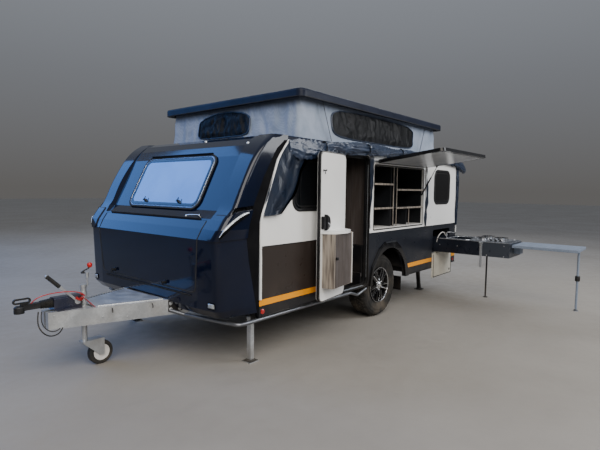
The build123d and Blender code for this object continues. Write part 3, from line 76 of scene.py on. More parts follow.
# %% From the road under the axle to the ball
ROAD = Vector((-3.650, 0.0, -0.585))
BODY_HALF = 1.100       # half the body's width
SIDES = ((1, "left"), (-1, "right"))


def at(x, y, z):
    """A place in road measures, as a vector in the frame."""
    return Vector((x, y, z)) + ROAD


def road_box(name):
    """A solid's low corner, high corner and middle, in road measures."""
    low, high = (Vector(corner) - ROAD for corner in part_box(name))
    return low, high, (low + high) / 2


print("the road lies at z =", ROAD.z)

# %% [markdown]
# ## The camera
#
# The photographer stood ahead of the left front corner at eye height, with a short lens. The lens,
# place and turn follow from lines on the body that are known to be level or upright, so the render
# can be laid over the photograph. The camera comes first, because it decides which side deserves the
# most work.

# %% Aim the camera
CAMERA_PLACE = (4.917, 3.891, 1.551)
CAMERA_YAW, CAMERA_PITCH, CAMERA_ROLL = (math.radians(a) for a in (40.08, 4.44, 0.64))
FOCAL_PIXELS = 458.3    # in a picture 600 wide


def camera_axes(yaw, pitch, roll):
    """The camera's right, up and view directions."""
    view = Vector((-math.cos(yaw) * math.cos(pitch), -math.sin(yaw) * math.cos(pitch), -math.sin(pitch)))
    level = view.cross(Vector((0, 0, 1))).normalized()
    upright = level.cross(view)
    return (math.cos(roll) * level + math.sin(roll) * upright,
            -math.sin(roll) * level + math.cos(roll) * upright, view)


camera = bpy.data.objects.new("camera", bpy.data.cameras.new("camera"))
scene.collection.objects.link(camera)
camera.data.sensor_width = 36.0
camera.data.lens = FOCAL_PIXELS / 600.0 * camera.data.sensor_width
camera.data.clip_start, camera.data.clip_end = 0.05, 200.0
right, upward, ahead = camera_axes(CAMERA_YAW, CAMERA_PITCH, CAMERA_ROLL)
turn = Matrix((right, upward, -ahead)).transposed().to_4x4()
camera.matrix_world = Matrix.Translation(at(*CAMERA_PLACE)) @ turn
scene.camera = camera
print("lens", round(camera.data.lens, 2), "mm")

# %% [markdown]
# ## A floor and soft light
#
# A plain pale floor and a bright, even room show a product without telling stories about the place.
# The body is gloss black in front, so what it mirrors matters: a big soft lamp above the front left
# draws the long highlights along the shoulder, a blue panel stands for the open sky that the raked
# window mirrors, and a dim room fills the rest. The floor has a faint mottle so that it doesn't look
# like paper.

# %% Floor, lamps and sky
FLOOR_REACH = 60.0
floor_mesh = bpy.data.meshes.new("studio_floor")
floor_mesh.from_pydata([at(x * FLOOR_REACH, y * FLOOR_REACH, 0.0) for x, y in ((-1, -1), (1, -1), (1, 1), (-1, 1))],
                       [], [(0, 1, 2, 3)])
studio_floor = bpy.data.objects.new("studio_floor", floor_mesh)
scene.collection.objects.link(studio_floor)


def soft_lamp(name, place, target, size, watts, tint):
    """A square area lamp that looks at a target."""
    lamp = bpy.data.lights.new(name, "AREA")
    lamp.shape, lamp.size, lamp.energy, lamp.color = "SQUARE", size, watts, tint
    holder = bpy.data.objects.new(name, lamp)
    scene.collection.objects.link(holder)
    holder.location = at(*place)
    holder.rotation_mode = "QUATERNION"
    holder.rotation_quaternion = (at(*target) - holder.location).to_track_quat("-Z", "Y")


soft_lamp("key_lamp", (6.0, 7.0, 7.0), (0.8, 0.4, 1.2), 8.0, 1150, (1.0, 0.95, 0.87))
soft_lamp("blue_panel", (6.5, -8.0, 6.5), (2.2, 0.0, 1.2), 7.0, 520, (0.10, 0.34, 1.0))
soft_lamp("side_lamp", (-3.5, 7.5, 4.5), (-0.8, 1.0, 1.0), 4.0, 380, (0.95, 0.97, 1.0))
soft_lamp("back_lamp", (-7.0, -6.0, 5.5), (-0.5, 0.0, 1.2), 8.0, 520, (0.92, 0.95, 1.0))
world = bpy.data.worlds.new("studio_sky")
scene.world = world
world.use_nodes = True
sky = world.node_tree
sky_ramp = sky.nodes.new("ShaderNodeValToRGB")
sky_height = sky.nodes.new("ShaderNodeSeparateXYZ")
sky_place = sky.nodes.new("ShaderNodeTexCoord")
sky.links.new(sky_place.outputs["Generated"], sky_height.inputs[0])
sky.links.new(sky_height.outputs["Z"], sky_ramp.inputs[0])
sky.links.new(sky_ramp.outputs[0], sky.nodes["Background"].inputs["Color"])
stops = sky_ramp.color_ramp.elements
stops[0].color, stops[1].color = (0.15, 0.145, 0.14, 1), (0.58, 0.64, 0.74, 1)      # level, and overhead
stops.new(0.22).color = (0.22, 0.23, 0.25, 1)
sky.nodes["Background"].inputs["Strength"].default_value = 0.80

# %% [markdown]
# ## Finishes from nodes
#
# Nothing here is painted from an image. Every finish starts from the same recipe: two tones mixed by
# soft noise, a roughness that wanders a little, fine bumps, and road dust that gathers low down. The
# recipe reads object coordinates, which are plain metres here, so a grain of 2 mm is 2 mm on every
# piece, and it stays put when a piece moves.

# %% The common recipe
DUST = (0.36, 0.29, 0.21, 1)
DUST_TOP = 0.9          # no dust lies higher above the road
materials = {}


def node(tree, kind, **settings):
    """Adds a shader node; settings that name an input socket fill it, the others are properties."""
    made = tree.nodes.new("ShaderNode" + kind)
    for key, value in settings.items():
        if hasattr(made, key):
            setattr(made, key, value)
        else:
            made.inputs[key.replace("_", " ")].default_value = value
    return made


def feed(tree, socket, value):
    """Links a socket to another, or sets it to a constant."""
    if isinstance(value, bpy.types.NodeSocket):
        tree.links.new(value, socket)
    else:
        socket.default_value = value


def maths(tree, operation, first, second=0.0):
    """A sum or test on two values, each a socket or a number."""
    made = node(tree, "Math", operation=operation)
    feed(tree, made.inputs[0], first)
    feed(tree, made.inputs[1], second)
    return made.outputs[0]


def axes(tree, place):
    """The three measures of a place."""
    split = node(tree, "SeparateXYZ")
    tree.links.new(place, split.inputs[0])
    return split.outputs["X"], split.outputs["Y"], split.outputs["Z"]


def mix_colours(tree, share, first, second, how="MIX"):
    """Mixes two colours by a share, each a socket or a constant."""
    mixer = tree.nodes.new("ShaderNodeMix")
    mixer.data_type, mixer.blend_type = "RGBA", how
    for socket, value in ((0, share), (6, first), (7, second)):
        feed(tree, mixer.inputs[socket], value)
    return mixer.outputs[2]


def noise_field(tree, place, scale, detail=3.0, stretch=None):
    """Soft noise of so many lumps a metre, stretched along an axis if need be."""
    if stretch is not None:
        mapping = node(tree, "Mapping")
        mapping.inputs["Scale"].default_value = stretch
        tree.links.new(place, mapping.inputs["Vector"])
        place = mapping.outputs["Vector"]
    field = node(tree, "TexNoise", Scale=scale, Detail=detail)
    tree.links.new(place, field.inputs["Vector"])
    return field.outputs["Fac"]


def ramp(tree, value, low, high, start=0.0, end=1.0):
    """Maps a field from low..high onto start..end, and clamps it."""
    mapped = node(tree, "MapRange", clamp=True)
    for socket, number in (("From Min", low), ("From Max", high), ("To Min", start), ("To Max", end)):
        mapped.inputs[socket].default_value = number
    tree.links.new(value, mapped.inputs["Value"])
    return mapped.outputs["Result"]


def finish(name, tone, other, rough, metal=0.0, mottle=4.0, grain=300.0, bump=0.05, dust=0.25,
           coat=0.0, sheen=0.0, stretch=None, colour=None, shine=0.5):
    """One finish: tone and other are mixed by noise of mottle lumps a metre; grain and bump are the fine
    surface; dust gathers near the road. colour, if given, turns the mixed tone into a patterned one,
    and shine is how strongly the bare surface mirrors."""
    made = bpy.data.materials.new(name)
    made.use_nodes = True
    tree = made.node_tree
    shader = tree.nodes["Principled BSDF"]
    place = node(tree, "TexCoord").outputs["Object"]
    patches = noise_field(tree, place, mottle, 4.0, stretch)
    base = mix_colours(tree, ramp(tree, patches, 0.35, 0.65), (*tone, 1), (*other, 1))
    if colour is not None:
        base = colour(tree, place, base)
    if dust > 0:
        low = ramp(tree, axes(tree, place)[2], ROAD.z, ROAD.z + DUST_TOP, dust, 0.0)
        speckle = ramp(tree, noise_field(tree, place, 5.0, 3.0), 0.45, 0.80)
        base = mix_colours(tree, maths(tree, "MULTIPLY", low, speckle), base, DUST)
    tree.links.new(base, shader.inputs["Base Color"])
    wear = noise_field(tree, place, 9.0, 5.0)
    tree.links.new(ramp(tree, wear, 0.3, 0.7, rough * 0.82, min(1.0, rough * 1.22)), shader.inputs["Roughness"])
    skin = node(tree, "Bump", Strength=min(1.0, bump * 4), Distance=bump * 0.004)
    tree.links.new(noise_field(tree, place, grain, 2.0, stretch), skin.inputs["Height"])
    tree.links.new(skin.outputs["Normal"], shader.inputs["Normal"])
    shader.inputs["Metallic"].default_value = metal
    shader.inputs["Specular IOR Level"].default_value = shine
    shader.inputs["Coat Weight"].default_value = coat
    shader.inputs["Coat Roughness"].default_value = 0.05
    shader.inputs["Sheen Weight"].default_value = sheen
    materials[name] = made
    return made


def weave(threads, gap=0.25):
    """A rule for crossed threads, so many a metre, with gaps that are darker by a share."""
    def woven(tree, place, base):
        waves = []
        for direction in ("X", "Z"):
            wave = node(tree, "TexWave", wave_type="BANDS", bands_direction=direction, Scale=threads / 20.0)
            tree.links.new(place, wave.inputs["Vector"])
            waves.append(wave.outputs["Fac"])
        lit = ramp(tree, maths(tree, "MAXIMUM", *waves), 0.0, 1.0, 1.0 - gap, 1.0)
        return mix_colours(tree, 1.0, base, mix_colours(tree, lit, (0, 0, 0, 1), (1, 1, 1, 1)), "MULTIPLY")
    return woven


def spangle(tree, place, base):
    """The frosty crystals of hot-dip zinc."""
    cells = node(tree, "TexVoronoi", Scale=70.0)
    tree.links.new(place, cells.inputs["Vector"])
    grey = node(tree, "RGBToBW")
    tree.links.new(cells.outputs["Color"], grey.inputs[0])
    return mix_colours(tree, ramp(tree, grey.outputs[0], 0.2, 0.8, 0.0, 0.45), base, (0.42, 0.44, 0.46, 1))


def wood_grain(tree, place, base):
    """Upright grain lines of a printed board."""
    lines = noise_field(tree, place, 6.0, 8.0, (9.0, 9.0, 0.55))
    return mix_colours(tree, ramp(tree, lines, 0.42, 0.60, 0.0, 0.75), base, (0.055, 0.042, 0.035, 1))


print("the recipe is ready")

# %% [markdown]
# ## Painted body panels
#
# The walls are flat sandwich panels in two colours: white above a joint at 1.05 m, brown or charcoal
# below it, black at the skirt, and an orange line along the bottom. On the real wall these are
# painted or foiled areas of the same flat sheet, so they are painted here too, by height and length,
# and not built as steps in the mesh.

# %% Walls in zones
JOINT_Z = 1.050         # between white and dark
SKIRT_TOP, LINE_LOW = 0.585, 0.530      # upper and lower edge of the orange line
LINE_FRONT, LINE_AFT = 0.930, -0.620    # the line breaks off between the door and the wheel
BROWN_FROM = 0.400
WHITE, WHITE_WARM = (0.80, 0.80, 0.79), (0.74, 0.74, 0.73)
CHARCOAL, BROWN = (0.009, 0.011, 0.017, 1), (0.027, 0.020, 0.017, 1)
ORANGE, SKIRT_BLACK = (0.80, 0.30, 0.000, 1), (0.012, 0.012, 0.014, 1)


def above(tree, value, limit):
    """1 where the value is above the limit."""
    return maths(tree, "GREATER_THAN", value, limit)


def below(tree, value, limit):
    """1 where the value is below the limit."""
    return maths(tree, "LESS_THAN", value, limit)


def wall_zones(tree, place, base):
    """White, brown front, charcoal middle, black skirt and the orange line, by place on the wall."""
    along, across, height = axes(tree, place)
    dark = mix_colours(tree, above(tree, along, ROAD.x + BROWN_FROM), CHARCOAL, BROWN)
    lined = mix_colours(tree, above(tree, along, ROAD.x + LINE_FRONT), SKIRT_BLACK, ORANGE)
    lined = mix_colours(tree, below(tree, along, ROAD.x + LINE_AFT), lined, ORANGE)
    low = mix_colours(tree, above(tree, height, ROAD.z + LINE_LOW), SKIRT_BLACK, lined)
    low = mix_colours(tree, above(tree, height, ROAD.z + SKIRT_TOP), low, dark)
    return mix_colours(tree, above(tree, height, ROAD.z + JOINT_Z), low, base)


finish("wall_paint", WHITE, WHITE_WARM, 0.32, mottle=1.5, grain=60.0, bump=0.0, dust=0.15, colour=wall_zones,
       shine=0.35)
finish("door_white", WHITE, WHITE_WARM, 0.38, mottle=2.0, grain=220.0, bump=0.04, dust=0.15)
print("wall zones painted")

# %% [markdown]
# ## The finishes of the other parts
#
# Each is one call of the recipe with its own tones. Gelcoat gets a clear coat and hardly any bump,
# powder coat a fine leather skin, zinc its crystals, and cloth its threads. What a call leaves out is
# as in the recipe.

# %% Gelcoat, metals, plastics and rubber
finish("nose_gelcoat", (0.0016, 0.0036, 0.012), (0.0024, 0.0055, 0.020), 0.09, mottle=1.2, grain=40.0,
       bump=0.02, dust=0.03, coat=0.20, shine=0.28)
finish("band_black", (0.003, 0.003, 0.004), (0.006, 0.006, 0.007), 0.62, mottle=6.0, grain=500.0, bump=0.06,
       dust=0.05, shine=0.05)
finish("roof_gelcoat", (0.005, 0.008, 0.019), (0.010, 0.014, 0.030), 0.42, mottle=2.0, grain=250.0, bump=0.04,
       dust=0.0, shine=0.15)
finish("zinc", (0.50, 0.52, 0.54), (0.62, 0.64, 0.66), 0.42, metal=0.75, mottle=9.0, grain=120.0, bump=0.08,
       dust=0.45, colour=spangle)
finish("black_powder", (0.010, 0.010, 0.011), (0.018, 0.018, 0.020), 0.48, mottle=20.0, grain=700.0, bump=0.10,
       dust=0.20, shine=0.35)
finish("navy_paint", (0.005, 0.008, 0.024), (0.009, 0.013, 0.036), 0.28, mottle=14.0, bump=0.06, dust=0.3,
       coat=0.4)
finish("black_plastic", (0.004, 0.004, 0.005), (0.008, 0.008, 0.009), 0.42, mottle=12.0, grain=900.0,
       bump=0.10, dust=0.15, shine=0.35)
finish("gloss_black", (0.003, 0.003, 0.004), (0.005, 0.005, 0.006), 0.14, mottle=5.0, grain=80.0, bump=0.02,
       dust=0.06, coat=0.2, shine=0.3)
finish("rubber", (0.016, 0.016, 0.016), (0.028, 0.027, 0.026), 0.78, mottle=18.0, grain=600.0, bump=0.15,
       dust=0.2, shine=0.3)
finish("tyre_rubber", (0.011, 0.011, 0.011), (0.024, 0.022, 0.020), 0.82, mottle=16.0, grain=500.0, bump=0.2,
       dust=0.30, shine=0.25)
finish("machined_alloy", (0.72, 0.73, 0.75), (0.62, 0.63, 0.66), 0.20, metal=1.0, mottle=30.0, grain=900.0,
       bump=0.03, dust=0.15)
finish("satin_aluminium", (0.50, 0.53, 0.57), (0.60, 0.63, 0.67), 0.34, metal=0.85, mottle=10.0, grain=800.0,
       dust=0.3, stretch=(0.2, 6.0, 6.0))
finish("chrome", (0.86, 0.87, 0.88), (0.80, 0.81, 0.83), 0.07, metal=1.0, mottle=6.0, grain=60.0, bump=0.01,
       dust=0.1)
finish("brushed_steel", (0.50, 0.52, 0.55), (0.62, 0.63, 0.66), 0.28, metal=1.0, mottle=8.0, grain=600.0,
       bump=0.06, dust=0.1, stretch=(7.0, 0.3, 7.0))
finish("red_plastic", (0.55, 0.012, 0.010), (0.42, 0.010, 0.010), 0.35, mottle=30.0, grain=400.0, dust=0.2)
finish("black_liner", (0.008, 0.009, 0.011), (0.013, 0.014, 0.017), 0.5, mottle=8.0, dust=0.0, shine=0.3)
finish("pale_worktop", (0.62, 0.60, 0.57), (0.70, 0.68, 0.66), 0.35, mottle=20.0, grain=600.0, bump=0.03,
       dust=0.0)

# %% Wood, glass, lamps and cloth
finish("dark_wood", (0.062, 0.052, 0.050), (0.095, 0.080, 0.076), 0.45, mottle=5.0, grain=400.0, bump=0.06,
       dust=0.0, stretch=(6.0, 6.0, 0.6), colour=wood_grain)
finish("light_wood", (0.30, 0.26, 0.215), (0.37, 0.32, 0.27), 0.45, mottle=5.0, grain=400.0, dust=0.0,
       stretch=(6.0, 6.0, 0.6), colour=wood_grain)
finish("smoked_acrylic", (0.0015, 0.002, 0.003), (0.0025, 0.003, 0.004), 0.07, mottle=3.0, grain=30.0,
       bump=0.01, dust=0.0, shine=0.45)
finish("blue_acrylic", (0.10, 0.17, 0.30), (0.15, 0.23, 0.37), 0.14, metal=0.45, mottle=2.5, grain=30.0,
       bump=0.01, dust=0.0, coat=1.0)
finish("lamp_red", (0.45, 0.010, 0.008), (0.30, 0.006, 0.006), 0.14, mottle=60.0, grain=250.0, bump=0.2,
       dust=0.15, coat=1.0)
finish("lamp_clear", (0.62, 0.66, 0.70), (0.78, 0.82, 0.85), 0.12, metal=0.3, mottle=60.0, grain=250.0,
       bump=0.2, dust=0.1, coat=1.0)
canvas_weave = weave(1200.0)


def canvas_weave_and_shade(tree, place, base):
    """Woven canvas with painted shade: it is darkened right under the lid."""
    shade = ramp(tree, axes(tree, place)[2], ROAD.z + 2.340, ROAD.z + 2.420, 0.0, 0.75)
    return mix_colours(tree, shade, canvas_weave(tree, place, base), (0.045, 0.060, 0.095, 1))


finish("canvas", (0.22, 0.27, 0.36), (0.30, 0.35, 0.45), 0.75, mottle=5.0, grain=900.0, bump=0.25, dust=0.0,
       sheen=0.1, colour=canvas_weave_and_shade)
finish("window_mesh", (0.004, 0.005, 0.007), (0.010, 0.011, 0.014), 0.5, mottle=14.0, grain=1200.0, bump=0.3,
       dust=0.0, colour=weave(700.0, 0.5))
finish("awning_cloth", (0.009, 0.018, 0.042), (0.018, 0.033, 0.070), 0.32, mottle=7.0, grain=900.0, bump=0.2,
       dust=0.05, coat=0.25, colour=weave(1500.0, 0.15))
finish("ticking", (0.34, 0.35, 0.38), (0.42, 0.43, 0.46), 0.9, mottle=9.0, grain=700.0, bump=0.3, dust=0.0,
       sheen=0.4, colour=weave(800.0))
finish("guard_tube", (0.16, 0.17, 0.19), (0.22, 0.23, 0.25), 0.40, metal=0.9, mottle=8.0, dust=0.2)
finish("table_aluminium", (0.22, 0.27, 0.36), (0.28, 0.33, 0.42), 0.40, metal=0.4, mottle=10.0, grain=700.0,
       dust=0.0, stretch=(0.2, 6.0, 6.0))
finish("cream_panel", (0.66, 0.63, 0.54), (0.58, 0.55, 0.47), 0.45, mottle=9.0, grain=400.0, dust=0.15)
finish("floor_paint", (0.235, 0.215, 0.19), (0.265, 0.245, 0.22), 0.75, mottle=0.8, grain=60.0, bump=0.04,
       dust=0.0)
floor_mesh.materials.append(materials["floor_paint"])
print("finishes:", len(materials))

# %% [markdown]
# ## A finish on every solid
#
# Each CAD solid keeps its shape and takes the finish of the real part. The table names them all, so
# none is left in plain grey.

# %% Dress the solids
FINISH_OF = {
    "zinc": "chassis_rails drawbar_deck jockey_clamp jockey_stem jockey_fork steady_front_left steady_front_right "
            "handbrake_lever",
    "guard_tube": "side_guards",
    "black_powder": "cross_members trailing_arms coupling_head drawer_prop "
                    "steady_rear_left steady_rear_right coil_springs",
    "navy_paint": "overrun_housing",
    "nose_gelcoat": "nose_moulding storage_hatch",
    "band_black": "nose_bands",
    "roof_gelcoat": "roof_deck roof_lid",
    "gloss_black": "wheel_flares rim_left rim_right",
    "wall_paint": "wall_left wall_right wall_rear",
    "door_white": "door door_shelf",
    "black_plastic": "door_frame door_latch step_well wheel_boxes",
    "rubber": "bellows jockey_wheel",
    "tyre_rubber": "tyre_left tyre_right",
    "satin_aluminium": "hinge_rails awning_rails",
    "table_aluminium": "table table_leg",
    "cream_panel": "drawer_flap",
    "chrome": "tap",
    "brushed_steel": "hob",
    "smoked_acrylic": "side_windows",
    "blue_acrylic": "front_window",
    "dark_wood": "furniture floor",
    "light_wood": "door_cabinet",
    "black_liner": "galley_bay drawer_bay",
    "lamp_red": "rear_lamps",
    "lamp_clear": "front_lamps",
    "canvas": "pop_top_canvas",
    "awning_cloth": "awning_fabric",
    "ticking": "mattress",
    "hatch_skin": "galley_hatch",
    "drawer_steel": "kitchen_drawer",
}
HATCH_MIDDLE, HATCH_HALF = -0.390, 0.672        # along the wall
HATCH_NEAR, HATCH_REACH = 1.122, 0.800          # out from the wall, with the hatch up
DRAWER_END = 1.790      # bare steel, painted lighter as a highlight, lies beyond it
FRAME_BLACK, STEEL_END_HIGHLIGHT = (0.004, 0.004, 0.005, 1), (0.045, 0.053, 0.070, 1)


def hatch_skin(tree, place, base):
    """The galley hatch: a black frame round a pale inner panel."""
    along, across, height = axes(tree, place)
    off = maths(tree, "ABSOLUTE", maths(tree, "SUBTRACT", along, ROAD.x + HATCH_MIDDLE))
    framed = mix_colours(tree, above(tree, off, HATCH_HALF - 0.040), base, FRAME_BLACK)
    framed = mix_colours(tree, above(tree, across, HATCH_NEAR + HATCH_REACH - 0.036), framed, FRAME_BLACK)
    return mix_colours(tree, below(tree, across, HATCH_NEAR + 0.045), framed, FRAME_BLACK)


def drawer_zones(tree, place, base):
    """The kitchen drawer: dark painted box, with bare steel at its far end painted lighter there as a highlight."""
    return mix_colours(tree, above(tree, axes(tree, place)[1], DRAWER_END), base, STEEL_END_HIGHLIGHT)


finish("hatch_skin", (0.50, 0.52, 0.55), (0.56, 0.58, 0.61), 0.22, mottle=2.0, grain=200.0, bump=0.03,
       dust=0.0, colour=hatch_skin, shine=0.4)
finish("drawer_steel", (0.010, 0.013, 0.022), (0.016, 0.020, 0.032), 0.30, metal=0.3, mottle=6.0, grain=500.0,
       dust=0.05, colour=drawer_zones)
for finish_name, names in FINISH_OF.items():
    for name in names.split():
        slots = nodes[name].data.materials
        slots.clear()
        slots.append(materials[finish_name])
undressed = set(nodes) - set(" ".join(FINISH_OF.values()).split())
print("solids without a finish:", sorted(undressed))

# %% [markdown]
# ## Tools for meshes
#
# Four shapes make most small parts: a box with broken edges, a rod along a line, a turned body, and a
# sheet drawn by a rule. Each adds to a mesh that is still open, so a part of many bits ends as one
# piece. The last tool, piece, opens a mesh for a with block. When the block ends, it moves the mesh
# into the frame, smooths it up to an edge angle, and hands it to the body that carries it.

# %% Box, rod, turned body and sheet
def slab(mesh, low, high, soft=0.003):
    """A box between two corners with its edges broken by soft."""
    size = [b - a for a, b in zip(low, high)]
    middle = [(a + b) / 2 for a, b in zip(low, high)]
    made = bmesh.ops.create_cube(mesh, size=1.0, matrix=Matrix.Translation(middle) @ Matrix.Diagonal((*size, 1)))
    edges = {edge for corner in made["verts"] for edge in corner.link_edges}
    soft = min(soft, 0.3 * min(size))
    return bmesh.ops.bevel(mesh, geom=list(edges), offset=soft, segments=2, affect="EDGES")["verts"]


def full_turn(steps, closed=False):
    """The angles of a full turn in so many steps; closed adds the last one, which is the first again."""
    return [2 * math.pi * k / steps for k in range(steps + closed)]


def frames_along(line):
    """For each point of a line: the point, and two directions square to the line, carried without twist."""
    line = [Vector(p) for p in line]
    side = None
    for i, point in enumerate(line):
        heading = (line[min(i + 1, len(line) - 1)] - line[max(i - 1, 0)]).normalized()
        if side is None:
            side = heading.orthogonal().normalized()
        side = (side - heading * side.dot(heading)).normalized()
        yield point, side, heading.cross(side)


def skin_rings(mesh, rings, closed_ends=True):
    """Joins rings of vertices into a skin, and caps its ends."""
    count = len(rings[0])
    for first, second in zip(rings, rings[1:]):
        for i in range(count):
            j = (i + 1) % count
            mesh.faces.new((first[i], first[j], second[j], second[i]))
    if closed_ends:
        mesh.faces.new(rings[0][::-1])
        mesh.faces.new(rings[-1])


def rod(mesh, line, radius, sides=12, flat=1.0):
    """A round bar along a line; flat squeezes it across its second direction. radius may be a list."""
    radii = radius if isinstance(radius, (list, tuple)) else [radius] * len(line)
    rings = []
    for (point, one, two), size in zip(frames_along(line), radii):
        rings.append([mesh.verts.new(point + size * (math.cos(a) * one + flat * math.sin(a) * two))
                      for a in full_turn(sides)])
    skin_rings(mesh, rings)


def turned(mesh, profile, centre, axis, steps=32, closed_ends=True):
    """A turned body: profile holds (radius, place along the axis)."""
    axis = Vector(axis).normalized()
    one = axis.orthogonal().normalized()
    two = axis.cross(one)
    rings = []
    for radius, along in profile:
        middle = Vector(centre) + along * axis
        rings.append([mesh.verts.new(middle + radius * (math.cos(a) * one + math.sin(a) * two))
                      for a in full_turn(steps)])
    skin_rings(mesh, rings, closed_ends)


def sheet(mesh, across, down, rule, thick=0.0):
    """A sheet of across by down cells, drawn by rule(u, v), with u and v from 0 to 1; thick closes it."""
    rows = [[mesh.verts.new(rule(i / across, j / down)) for i in range(across + 1)] for j in range(down + 1)]
    faces = []
    for low, high in zip(rows, rows[1:]):
        for i in range(across):
            faces.append(mesh.faces.new((low[i], low[i + 1], high[i + 1], high[i])))
    if thick:
        bmesh.ops.solidify(mesh, geom=faces, thickness=thick)


def through(points, steps=6):
    """A smooth line through points (Catmull-Rom)."""
    points = [Vector(p) for p in points]
    ends = [2 * points[0] - points[1], *points, 2 * points[-1] - points[-2]]
    line = []
    for a, b, c, d in zip(ends, ends[1:], ends[2:], ends[3:]):
        for k in range(steps):
            t = k / steps
            line.append(0.5 * (2 * b + (c - a) * t + (2 * a - 5 * b + 4 * c - d) * t * t
                               + (3 * b - a - 3 * c + d) * t * t * t))
    return [*line, points[-1]]


def bolt(mesh, place, heading, size):
    """A hexagon head on a washer; size is the head's width from flat to flat."""
    washer, head = [(0.95, 0.0), (0.95, 0.18), (0.60, 0.20)], [(0.58, 0.0), (0.58, 0.50), (0.46, 0.62)]
    for profile, steps in ((washer, 16), (head, 6)):
        turned(mesh, [(size * radius, size * along) for radius, along in profile], place, heading, steps)


def fold(x, y, z):
    """Soft noise from -1 to 1 at a place."""
    return noise.noise(Vector((x, y, z)))


SLOT_OF = {       # the part's slot that a finish belongs to, unless the piece says another
    "black_plastic": "black_plastic", "rubber": "rubber", "tyre_rubber": "tyre", "machined_alloy": "alloy",
    "chrome": "chrome", "black_powder": "black_steel", "zinc": "galvanised", "ticking": "foam",
    "window_mesh": "canvas", "canvas": "canvas", "awning_cloth": "awning", "band_black": "nose",
    "lamp_clear": "lamp_clear", "lamp_red": "lamp", "door_white": "white", "pale_worktop": "white",
    "brushed_steel": "steel", "light_wood": "wood", "dark_wood": "wood", "satin_aluminium": "aluminium",
    "table_aluminium": "aluminium", "smoked_acrylic": "aluminium", "red_plastic": None,
}


@contextlib.contextmanager
def piece(name, finish_name, body="caravan", slot=None, replaces=(), sharp=35):
    """Opens a mesh, and at the end of the with block makes it a piece that rides on a body. A body given
    as (one, other, start, end) leaves the piece in place, on no body."""
    mesh = bmesh.new()
    yield mesh
    bmesh.ops.recalc_face_normals(mesh, faces=mesh.faces)
    data = bpy.data.meshes.new(name)
    mesh.to_mesh(data)
    mesh.free()
    data.transform(Matrix.Translation(ROAD))
    data.shade_smooth()
    data.set_sharp_from_angle(angle=math.radians(sharp))
    data.materials.append(materials[finish_name])
    made = bpy.data.objects.new(name, data)
    scene.collection.objects.link(made)
    if isinstance(body, tuple):
        at(*body[2])
        at(*body[3])
        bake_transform(made)
    else:
        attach(made, body)
    if slot or SLOT_OF[finish_name]:
        slot or SLOT_OF[finish_name]
    if replaces:
        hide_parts(*replaces)


print("mesh tools are ready")

# %% [markdown]
# ## The raised roof's canvas
#
# Four cloth walls stand between the roof and the lifted lid. The cloth is sewn to both, so it is
# straight there and slack in between: it gathers in soft upright folds and pulls in at mid height.
# A simulation would give folds of its own choosing. These are drawn by a rule instead, because they
# have to stay clear of the folding gear.

# %% Canvas walls
FOOT_Z, HEAD_Z = 2.040, 2.474
FOOT_HALF, HEAD_HALF = (1.560, 1.040), (1.520, 1.010)
CANVAS_ROUND = 0.060    # radius of its corners


def canvas_ring(t, long_half, wide_half):
    """A place and its outward direction at share t of the way round a rounded rectangle."""
    straight_x, straight_y = 2 * (long_half - CANVAS_ROUND), 2 * (wide_half - CANVAS_ROUND)
    corner = math.pi / 2 * CANVAS_ROUND
    run = (t % 1.0) * (2 * straight_x + 2 * straight_y + 4 * corner)
    x, y, turn = -straight_x / 2, wide_half, math.pi / 2
    for length, is_corner in ((straight_x, 0), (corner, 1), (straight_y, 0), (corner, 1)) * 2:
        step = min(run, length)
        if is_corner:
            middle = Vector((x, y)) - CANVAS_ROUND * Vector((math.cos(turn), math.sin(turn)))
            turn -= step / CANVAS_ROUND
            x, y = middle + CANVAS_ROUND * Vector((math.cos(turn), math.sin(turn)))
        else:
            x, y = x + step * math.sin(turn), y - step * math.cos(turn)
        run -= step
        if run <= 1e-9:
            break
    return x, y, Vector((math.cos(turn), math.sin(turn), 0.0))


def canvas_place(t, height, out=0.0):
    """A place on the canvas at share t round it and share height up, moved outward by out."""
    long_half = FOOT_HALF[0] + (HEAD_HALF[0] - FOOT_HALF[0]) * height
    wide_half = FOOT_HALF[1] + (HEAD_HALF[1] - FOOT_HALF[1]) * height
    x, y, outward = canvas_ring(t, long_half, wide_half)
    slack = math.sin(math.pi * height)
    round_x, round_y = 3.0 * math.cos(2 * math.pi * t), 3.0 * math.sin(2 * math.pi * t)
    gather = fold(round_x * 3.4, round_y * 3.4, 0.9 * height)
    gather += 0.55 * fold(round_x * 9.0, round_y * 9.0, 2.0 * height)
    pull = fold(round_x * 1.1 + 2.0 * height, round_y * 1.1, 4.0)
    crease = 1.0 - 2.0 * abs(fold(round_x * 5.2 + 1.5 * height, round_y * 5.2, 3.0 + height))
    drop = -0.018 * slack + slack ** 0.6 * (0.016 * gather + 0.013 * crease) + 0.012 * slack * pull
    z = FOOT_Z + (HEAD_Z - FOOT_Z) * height
    return Vector((x, y, z)) + outward * (drop + out)


CANVAS_COLUMNS, CANVAS_ROWS, CANVAS_THICK = 460, 26, 0.004
ROOF_LIFT = ("caravan", "roof_lid", (0, 0, FOOT_Z + 0.010), (0, 0, HEAD_Z - 0.030))
with piece("canvas_walls", "canvas", ROOF_LIFT, replaces=["pop_top_canvas"], sharp=60) as canvas:
    outer_rows, inner_rows = ([[canvas.verts.new(canvas_place(i / CANVAS_COLUMNS, j / CANVAS_ROWS, skin))
                                for i in range(CANVAS_COLUMNS)] for j in range(CANVAS_ROWS + 1)]
                              for skin in (0.0, -CANVAS_THICK))
    skin_rings(canvas, [*outer_rows, *inner_rows[::-1], outer_rows[0]], closed_ends=False)
canvas_length = sum((canvas_place(i / 100, 0.5) - canvas_place((i + 1) / 100, 0.5)).length for i in range(100))
print("canvas is", round(canvas_length, 2), "m round")

